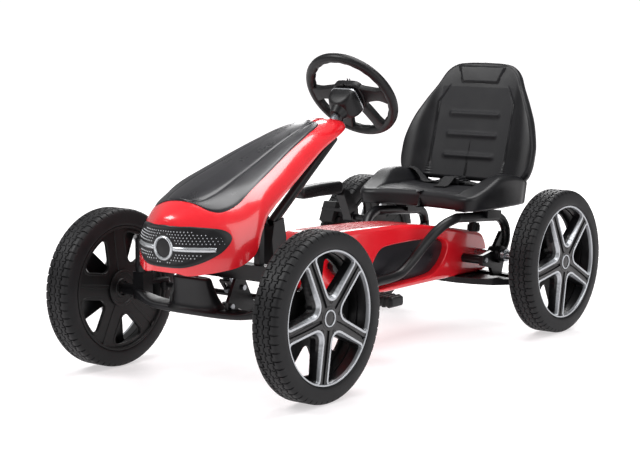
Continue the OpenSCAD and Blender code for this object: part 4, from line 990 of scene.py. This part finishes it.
# %% Seat base
seat_low, seat_high = box_mm("seat_base")
seat_front = seat_low[1] + 2
SEAT_HALF = (seat_high[0] - seat_low[0]) / 2
BASE_PLAN = [(0, 21), (60, 12), (0.72 * SEAT_HALF, 0), (0.87 * SEAT_HALF, 5), (0.95 * SEAT_HALF, 30),
             (0.99 * SEAT_HALF, 90), (0.99 * SEAT_HALF, 150), (0.97 * SEAT_HALF, 180),
             (0.88 * SEAT_HALF, 200), (40, 205)]
BASE_CREST = [(-6, 266), (4, 270), (24, 277), (50, 287), (90, 304), (115, 308.5), (150, 304), (190, 294),
              (215, 285)]
BASE_CROSS = [(0, 276), (0.5, 276), (0.6, 277), (0.66, 284), (0.78, 303), (0.87, 308.5), (0.94, 304),
              (1.02, 294)]
SEAM_X = 94


def soft_min(a, b, width):
    """The smaller of two values, with the corner between them rounded over the given width."""
    h = np.clip(0.5 + 0.5 * (b - a) / width, 0, 1)
    return b + (a - b) * h - width * h * (1 - h)


def curve_at(points, where, steps=12):
    """A smooth curve through (place, value) pairs, read at the given places."""
    line = smooth_line(points, steps)
    return np.interp(where, line[:, 0], line[:, 1])


def base_height(x, y):
    """Top of the base: the lower of a side view and a cross-section, less a groove along each seam."""
    side = curve_at(BASE_CREST, y - seat_front)
    cross = curve_at(BASE_CROSS, np.abs(x) / SEAT_HALF)
    top = soft_min(side, cross, 5)
    middle = np.clip((SEAM_X - np.abs(x)) / 12, 0, 1)
    lip = 5.0 * np.exp(-(((y - seat_front - 34) / 10) ** 2)) * middle * -0.25
    groove = 1.6 * np.exp(-(((np.abs(x) - SEAM_X) / 1.5) ** 2)) * np.clip((seat_front + 190 - y) / 20, 0, 1)
    return top - groove + lip


def ring_grid(outline, centre, count, power=1.0):
    """Rings from a flat outline in towards its centre: (rings, points, 2), the outline first."""
    share = np.linspace(1, 0.002, count)[:, None, None] ** power
    return centre + (outline - centre)[None] * share


plan = np.array(both_sides(BASE_PLAN)[::-1]) + [0, seat_front]
plan = smooth_line(plan, 9, closed=True)
roll_r = 11.0
tops = ring_grid(inset(plan, roll_r), np.array([0, seat_front + 110]), 74)
top_z = base_height(tops[..., 0], tops[..., 1])
upper = np.concatenate([tops, top_z[..., None]], -1)[::-1]
roll = []
for turn in np.linspace(0, math.pi / 2, 6)[1:]:
    flat = inset(plan, roll_r * (1 - math.sin(turn)))
    roll.append(np.concatenate([flat, (top_z[0] - roll_r * (1 - math.cos(turn)))[:, None]], 1))
under = []
for turn in np.linspace(0, math.pi / 2, 6):
    flat = inset(plan, 7 * (1 - math.cos(turn)) + 4)
    under.append(np.concatenate([flat, (242 + 6 - 6 * math.sin(turn) + 0 * plan[:, :1])], 1))
base_rings = np.concatenate([upper, np.array(roll), np.array(under)])
seat_base = piece("seat_base", loft(base_rings), seat_pp, "seat", ["seat_base"], 40)


def grain_middle(obj, centre_of, half):
    """The faces near the middle of a seat moulding take the grained finish."""
    obj.data.materials.append(grain_pp)
    centres = np.empty(len(obj.data.polygons) * 3)
    obj.data.polygons.foreach_get("center", centres)
    centres = centres.reshape(-1, 3) / MM
    index = (np.abs(centres[:, 0]) < half) & centre_of(centres)
    obj.data.polygons.foreach_set("material_index", index.astype(np.int32))
    obj.data.update()


grain_middle(seat_base, lambda c: c[:, 2] > 262, SEAM_X - 1)


# %% [markdown]
# The back leans, so it is worked out upright and then tilted. Its front is hollow between two wings, with
# a raised panel at the head and three ridges under it.

# %% Seat back
back_low, back_high = box_mm("seat_back")
BACK_HALF = (back_high[0] - back_low[0]) / 2
LEAN = math.radians(16)
BACK_FOOT = np.array([0, rear_y + 12, 262.0])
BACK_TALL = (back_high[2] + 2 - BACK_FOOT[2]) / math.cos(LEAN)
BACK_OUTLINE = [(0, 0.085), (0.5, 0.085), (0.84, 0.09), (0.94, 0.12), (0.99, 0.19), (1, 0.28),
                (0.985, 0.38), (0.9, 0.54), (0.78, 0.68), (0.65, 0.81), (0.57, 0.9), (0.48, 0.955),
                (0.36, 0.985), (0.15, 0.995)]
FRONT_CROSS = [(0, 4), (0.3, 4), (0.5, 3), (0.62, 0), (0.8, -11), (0.92, -13), (1.0, -9)]
FRONT_SIDE = [(0, -14), (0.42, -13), (0.66, -6), (0.85, 0), (0.98, 4), (1.02, 6)]
REAR_CROSS = [(0, 27), (0.4, 26), (0.8, 16), (1.0, 8)]
SEAM_BACK = 89


def back_front(x, v):
    """Front of the back: the rearmost of a cross-section and a side view, with ridges, head panel and
    seams added."""
    cross = curve_at(FRONT_CROSS, np.abs(x) / BACK_HALF)
    side = curve_at(FRONT_SIDE, v / BACK_TALL)
    front = -soft_min(-cross, -side, 4)
    for height in (72, 116, 160):
        across = np.clip((62 - np.abs(x)) / 6, 0, 1)
        front = front - 3.4 * np.exp(-(((v - height) / 5.0) ** 2)) * across
    head = np.clip((50 + (v - 244) * 0.38 - np.abs(x)) / 3, 0, 1)
    head = head * np.clip((v - 226) / 3, 0, 1) * np.clip((262 - v) / 3, 0, 1)
    seam_x = SEAM_BACK - np.clip((v - 185) / 60, 0, 1) * 34
    groove = 1.8 * np.exp(-(((np.abs(x) - seam_x) / 1.6) ** 2)) * np.clip((222 - v) / 12, 0, 1)
    return front - 3.0 * head + groove


def lean_back(points):
    """Upright coordinates (across, height, depth) tilted back about the foot."""
    x, v, n = points[..., 0], points[..., 1], points[..., 2]
    y = n * math.cos(LEAN) + v * math.sin(LEAN)
    z = v * math.cos(LEAN) - n * math.sin(LEAN)
    return np.stack([x, y, z], -1) + BACK_FOOT


outline = np.array(both_sides(BACK_OUTLINE)) * [BACK_HALF, BACK_TALL]
outline = smooth_line(outline, 10, closed=True)
middle = np.array([0, 0.47 * BACK_TALL])
rings = ring_grid(inset(outline, 7), middle, 96)
front_n = back_front(rings[..., 0], rings[..., 1])
front_rings = np.concatenate([rings, front_n[..., None]], -1)[::-1]
rear_rings_flat = ring_grid(inset(outline, 7), middle, 40)
rear_n = np.minimum(curve_at(REAR_CROSS, np.abs(rear_rings_flat[..., 0]) / BACK_HALF),
                    22 + 6 * np.sin(np.clip(rear_rings_flat[..., 1] / BACK_TALL, 0, 1) * math.pi))
rear_n = np.maximum(rear_n, back_front(rear_rings_flat[..., 0], rear_rings_flat[..., 1]) + 12)
rear_rings = np.concatenate([rear_rings_flat, rear_n[..., None]], -1)
edge_rings = []
for turn in np.linspace(0, math.pi, 11)[1:-1]:
    flat = inset(outline, 7 * (1 - math.sin(turn)))
    depth = (front_n[0] + rear_n[0]) / 2 - (rear_n[0] - front_n[0]) / 2 * math.cos(turn)
    edge_rings.append(np.concatenate([flat, depth[:, None]], 1))
back_rings = lean_back(np.concatenate([front_rings, np.array(edge_rings), rear_rings]))
seat_back = piece("seat_back", loft(back_rings), seat_pp, "seat", ["seat_back"], 40)
grain_middle(seat_back, lambda c: (c[:, 2] < 470)
             & (c[:, 1] < BACK_FOOT[1] + 12 + (c[:, 2] - 262) * 0.287), 86)


# %% [markdown]
# The lap belt is flat polyester webbing. Each strap is a thin ribbon along a path, with its width across
# the path, and its ribs come from the weave finish. The buckle is a rounded block with a press button.

# %% Lap belt
def ribbon(path, width, thickness):
    """A strap: rounded flat sections of the given width, laid across a path of (x, y, z, turn of the
    width in degrees)."""
    path = smooth_line(path, 8)
    turn = np.linspace(0, 2 * math.pi, 24, endpoint=False)
    c, s = np.cos(turn), np.sin(turn)
    flat = np.stack([np.sign(c) * np.abs(c) ** 0.35 * width / 2,
                     np.sign(s) * np.abs(s) ** 0.6 * thickness / 2], 1)
    along = np.gradient(path[:, :3], axis=0)
    along /= np.linalg.norm(along, axis=1, keepdims=True)
    angle = np.radians(path[:, 3])
    wide = np.stack([np.sin(angle), np.cos(angle), 0 * angle], 1)
    wide -= along * np.sum(along * wide, 1, keepdims=True)
    wide /= np.linalg.norm(wide, axis=1, keepdims=True)
    up = np.cross(along, wide)
    return loft(path[:, None, :3] + flat[None, :, :1] * wide[:, None] + flat[None, :, 1:] * up[:, None])


belt_y = rear_y - 12
LEFT_STRAP = [(18, belt_y, 284, 0), (34, belt_y + 1, 282, 2), (52, belt_y + 3, 279, 5),
              (70, belt_y + 8, 279, 12), (82, belt_y + 18, 283, 25), (88, belt_y + 30, 287, 35)]
RIGHT_STRAP = [(-18, belt_y, 284, 0), (-34, belt_y - 2, 283, -4), (-52, belt_y - 2, 279, -4),
               (-72, belt_y + 3, 279, -10), (-88, belt_y + 10, 289, -18), (-104, belt_y + 14, 299, -20),
               (-118, belt_y + 16, 304, -20)]
LOOSE_END = [(-2, belt_y - 12, 292, 82), (2, belt_y - 26, 291, 84), (6, belt_y - 44, 284, 86),
             (9, belt_y - 60, 279.5, 88), (11, belt_y - 74, 278.5, 88)]
piece("belt_left_strap", ribbon(LEFT_STRAP, 25, 2.2), webbing, "seat", ["belt_left"], 60)
piece("belt_right_strap", ribbon(RIGHT_STRAP, 25, 2.2), webbing, "seat", ["belt_right"], 60)
piece("belt_loose_end", ribbon(LOOSE_END, 25, 2.2), webbing, "seat", crease=60)
buckle = rounded_plate(rounded_rectangle(38, 34, 7), 277, 291, 3, upright(0, belt_y))
button = rounded_plate(rounded_rectangle(16, 15, 3), 288, 292.6, 1.2, upright(4, belt_y))
tongue = rounded_plate(rounded_rectangle(10, 27, 3), 280, 287, 1.5, upright(22, belt_y))
piece("belt_buckle", merge(buckle, button, tongue), bumper_pp, "seat", ["belt_buckle"], 40)


# %% [markdown]
# The chain cover is two glossy red half shells. Seen from the side each has a round front lobe for the
# chainring, and a recess with a dark panel further back. Both outlines are read as a distance for each
# direction from the recess's middle, so one grid runs round the rolled edge, over the face and down into
# the recess, and comes back as the inner wall.

# %% Chain covers
COVER_HALF = box_mm("chain_cover_left")[1][0]
crank_place = np.array(joints["crank_spin"]["pos_m"]) / MM
CRANK_Y, CRANK_Z = crank_place[1], crank_place[2]
LOBE_R = 58
RECESS = 14
arc = np.radians(np.arange(250, 89, -8))
lobe = np.stack([CRANK_Y + LOBE_R * np.cos(arc), CRANK_Z + LOBE_R * np.sin(arc)], 1)
COVER_REST = [(CRANK_Y + 112, 227), (rear_y - 283, 223), (rear_y - 203, 216), (rear_y - 133, 206),
              (rear_y - 60, 194), (rear_y + 12, 180), (rear_y + 33, 166), (rear_y + 44, 140),
              (rear_y + 46, 112), (rear_y + 34, 99), (rear_y - 60, 98.5), (rear_y - 183, 98.5),
              (CRANK_Y + 100, 99), (CRANK_Y + 20, 105)]
cover_line = np.concatenate([lobe, smooth_line(COVER_REST, 6)])
RECESS_LINE = [(CRANK_Y + 120, 140), (CRANK_Y + 134, 163), (CRANK_Y + 156, 184), (CRANK_Y + 190, 190),
               (rear_y - 210, 190), (rear_y - 150, 187), (rear_y - 114, 178), (rear_y - 104, 164),
               (rear_y - 113, 142), (rear_y - 136, 122), (rear_y - 176, 110), (CRANK_Y + 185, 106),
               (CRANK_Y + 134, 107), (CRANK_Y + 117, 118)]
recess_line = smooth_line(RECESS_LINE, 8, closed=True)
recess_middle = np.array([(CRANK_Y + 118 + rear_y - 104) / 2, 149.0])


outer = by_direction(dense(cover_line), recess_middle)
hollow = by_direction(dense(recess_line), recess_middle)
ROLL = 9.0


def cover_shape(side):
    """One half of the chain cover, a closed wall, on the given side."""
    put = across_x(side)
    rows = [(outer, 0.4), (outer, 12), (outer, COVER_HALF - ROLL - 4)]
    for turn in np.linspace(0, math.pi / 2, 8):
        rows.append((inset(outer, ROLL * (1 - math.cos(turn)), 6),
                     COVER_HALF - ROLL * (1 - math.sin(turn))))
    face = inset(outer, ROLL, 6)
    for share in (0.25, 0.5, 0.75, 0.93):
        rows.append((face * (1 - share) + hollow * share, COVER_HALF))
    for turn in np.linspace(0, math.pi / 2, 5):
        rows.append((inset(hollow, 3 * math.sin(turn), 6), COVER_HALF - 3 * (1 - math.cos(turn))))
    rows += [(inset(hollow, 4, 6), COVER_HALF - RECESS), (inset(hollow, 7, 6), COVER_HALF - RECESS),
             (inset(hollow, 7, 6), COVER_HALF - RECESS - 2), (inset(hollow, 1, 6), COVER_HALF - RECESS - 2),
             (inset(hollow, 0, 6), COVER_HALF - 3)]
    rows += [(inset(outer, ROLL, 6), COVER_HALF - 3), (inset(outer, 3, 6), COVER_HALF - ROLL),
             (inset(outer, 3, 6), 0.4)]
    rings = np.stack([put(flat, height) for flat, height in rows])
    count, size = rings.shape[:2]
    return rings.reshape(-1, 3), grid_quads(count, size, True, True).tolist()


def panel_shape(side):
    """The dark panel in the recess: a thin plate with rounded edges."""
    put = across_x(side)
    plate = rounded_plate(inset(hollow, 4.4, 6), COVER_HALF - RECESS - 1.6, COVER_HALF - RECESS + 1.6,
                          1.0, put)
    return plate


for name, side in (("left", 1), ("right", -1)):
    piece(f"chain_cover_{name}", cover_shape(side), red_abs, "chassis",
          [f"chain_cover_{name}"], 40)
    piece(f"side_panel_{name}", panel_shape(side), black_abs, "chassis",
          [f"side_panel_{name}"], 40)


# %% [markdown]
# The front bumper is one moulding: a wide lip whose ends rise in front of the wheels, and a pedestal that
# reaches up under the nose. The lip is a stack of rounded sections from one tip to the other.

# %% Front bumper
bumper_low, bumper_high = box_mm("front_bumper")
BUMPER_HALF = (bumper_high[0] - bumper_low[0]) / 2
base_z = bumper_low[2]
# share of the half width, front edge and back edge ahead of the axle, bottom and top over the lowest point
LIP = [(0, 49, 8, 0, 14), (0.34, 48, 5, 0, 14), (0.6, 45.5, 3, 1.5, 14.5), (0.74, 42, 6, 4, 18),
       (0.86, 37, 14, 7.5, 24), (0.94, 33, 18, 10, 26), (0.985, 29, 20.5, 12.5, 25.5),
       (1.0, 26, 23, 15, 23.5)]
half_rows = smooth_line(LIP, 7)
rows = np.concatenate([half_rows[::-1] * [-1, 1, 1, 1, 1], half_rows[1:]])
turn = np.linspace(0, 2 * math.pi, 32, endpoint=False)
c, s = np.cos(turn), np.sin(turn)
u = np.sign(c) * np.abs(c) ** 0.5
v = np.sign(s) * np.abs(s) ** 0.62
lip_rings = np.stack([
    np.repeat(rows[:, :1] * BUMPER_HALF, len(turn), 1),
    front_y - ((rows[:, 1:2] + rows[:, 2:3]) / 2 + (rows[:, 1:2] - rows[:, 2:3]) / 2 * u),
    base_z + (rows[:, 3:4] + rows[:, 4:5]) / 2 + (rows[:, 4:5] - rows[:, 3:4]) / 2 * v,
], -1)
POST = [(10, 60, 26, 30), (15, 53, 22, 30), (22, 47, 19, 32), (36, 42, 16.5, 37), (52, 39, 14.5, 42),
        (61, 38, 13.5, 45), (65, 36.5, 12.5, 46), (66.6, 33, 10, 46.5)]
post_rings = []
for height, w, d, ahead in smooth_line(POST, 5):
    flat = blend_outline(w, d, 3.4) + [0, front_y - ahead]
    post_rings.append(upright()(flat, base_z + height))
piece("front_bumper", merge(loft(lip_rings), loft(post_rings)), bumper_pp, "chassis",
               ["front_bumper"], 45)
for node, material in (("rear_bumper", bumper_pp), ("seat_knob", grip_pp)):
    mesh = frame["nodes"][node].data
    mesh.materials.clear()
    mesh.materials.append(material)


# %% [markdown]
# The two bent seat tubes are swept along smooth paths, finer than the frame's own, so that the bends have
# no facets in the light.

# %% Seat tubes
SEAT_TUBE_X = 95
SEAT_PATH = [(50, -380, 120), (50, -350, 125), (53, -318, 127), (57, -286, 133), (62, -262, 149),
             (68, -242, 168), (75, -222, 188), (83, -204, 206), (90, -184, 219), (SEAT_TUBE_X, -156, 227),
             (SEAT_TUBE_X, -140, 227.5), (SEAT_TUBE_X, -75, 222.6), (SEAT_TUBE_X, -14, 218),
             (SEAT_TUBE_X, -2, 217.1), (96, 16, 208), (98, 27, 190), (98, 28, 168), (98, 20, 152)]
for name, side in (("left", 1), ("right", -1)):
    path = smooth_line(np.array(SEAT_PATH) * [side, 1, 1] + [0, rear_y, 0], 8)
    piece(f"seat_tube_{name}", tube(path, 9.5, 28), powder, "chassis",
          [f"seat_tube_{name}"], 50)


# %% [markdown]
# Pedals and the brake's grip are blocks of plastic with rounded edges. The pedals have ribs across the
# tread, so that a shoe doesn't slip.

# %% Pedals
def pedal_shape(side, place):
    """A rounded block round the spindle with raised ribs above and below, in the kart's frame."""
    near, far_end = box_mm("pedal_left")[0][0], box_mm("pedal_left")[1][0]
    put = across_x(side, place[1], place[2])
    body = rounded_plate(rounded_rectangle(36, 18, 5), near, far_end, 3, put)
    rib_parts = []
    for k in range(7):
        x = near + 9 + k * (far_end - near - 18) / 6
        rib_parts.append(rounded_plate(rounded_rectangle(39, 21.6, 4), x - 2.6, x + 2.6, 1.4, put))
    return merge(body, *rib_parts)


for name, side in (("left", 1), ("right", -1)):
    place = np.array(joints[f"pedal_{name}_spin"]["pos_m"]) / MM
    piece(f"pedal_{name}", pedal_shape(side, place), grip_pp, f"pedal_{name}_body",
          [f"pedal_{name}"], 40)


# %% Brake grip
grip_low, grip_high = box_mm("brake_grip")
GRIP_SIDE = [(0, 12), (3, 5), (12, 0.5), (60, 1.5), (122, 1.5), (134, 7), (136, 18), (130, 26),
             (118, 27.5), (60, 27), (12, 24), (3, 20)]
grip_line = smooth_line(GRIP_SIDE, 5, closed=True)
put = across_x(1, grip_low[1], grip_low[2])
grip_parts = [rounded_plate(grip_line, grip_low[0], grip_high[0], 7, put, 7)]
for along in (34, 74):
    turn = np.linspace(0, 2 * math.pi, 20, endpoint=False)
    ring = np.stack([np.cos(turn), np.sin(turn)], 1)
    face = grip_high[0]
    screw = ((face - 1, 4.4), (face + 0.3, 4.4), (face + 0.6, 4.0), (face + 0.6, 3.2), (face - 0.6, 3.0))
    rings = [put(ring * r + [along, 14], h) for h, r in screw]
    grip_parts.append(loft(rings))
piece("brake_grip", merge(*grip_parts), grip_pp, "brake", ["brake_grip"], 40)


# %% [markdown]
# The setting is a plain white floor of paper, lit a little from within so that it stays white far away.
# Large soft lights give the glossy shells long even highlights. The sky is white to look at, but lends
# only part of that brightness to the kart, so that black plastic stays black.

# %% Setting
def paper_floor(half_size):
    """A flat square of white paper, with a faint mottle, that glows: a little near the kart and fully 3
    m away."""
    material, tree, shader, place = start("white paper floor")
    mottle = grain(tree, place, 60, 3)
    tree.links.new(ramp(tree, mottle, [(0.3, "#B9B7B8"), (0.7, "#BDBBBC")]), shader.inputs["Base Color"])
    shader.inputs["Roughness"].default_value = 0.6
    shader.inputs["Emission Color"].default_value = linear("#FFFCFD")
    away = add(tree, "ShaderNodeVectorMath", {"operation": "LENGTH"}, _0=place).outputs["Value"]
    tree.links.new(levels(tree, away, 0.9, 3.0, 0.56, 1.0), shader.inputs["Emission Strength"])
    sheet = bpy.data.meshes.new("floor")
    corners = [(-half_size, -half_size, 0), (half_size, -half_size, 0), (half_size, half_size, 0),
               (-half_size, half_size, 0)]
    sheet.from_pydata(corners, [], [(0, 1, 2, 3)])
    sheet.materials.append(material)
    obj = bpy.data.objects.new("floor", sheet)
    bpy.context.scene.collection.objects.link(obj)
    return obj


def area_light(name, place, target, size, power):
    """A soft square light at a place, turned to a target."""
    data = bpy.data.lights.new(name, "AREA")
    data.size = size
    data.energy = power
    obj = bpy.data.objects.new(name, data)
    obj.location = place
    obj.rotation_euler = (Vector(target) - Vector(place)).to_track_quat("-Z", "Y").to_euler()
    bpy.context.scene.collection.objects.link(obj)
    return obj


def sky(seen, lent):
    """A white world: its brightness is one value where the camera sees it and another where it lights
    things."""
    world = bpy.data.worlds.new("studio")
    world.use_nodes = True
    tree = world.node_tree
    looked_at = add(tree, "ShaderNodeLightPath").outputs["Is Camera Ray"]
    background = tree.nodes["Background"]
    background.inputs["Color"].default_value = linear("#FFFFFF")
    tree.links.new(levels(tree, looked_at, 0, 1, lent, seen), background.inputs["Strength"])
    return world


floor = paper_floor(30)
lights = [
    area_light("key", (-1.4, -2.0, 2.6), (0, -0.1, 0.25), 1.4, 75),
    area_light("fill", (3.2, -0.4, 1.9), (0, 0, 0.25), 2.6, 50),
    area_light("top", (0.2, 0.5, 2.8), (0, 0, 0.2), 1.8, 70),
    area_light("back", (-1.6, 2.6, 1.6), (0, 0, 0.3), 1.4, 45),
]
bpy.context.scene.world = sky(1.05, 0.3)
bpy.context.scene.view_settings.view_transform = "Standard"
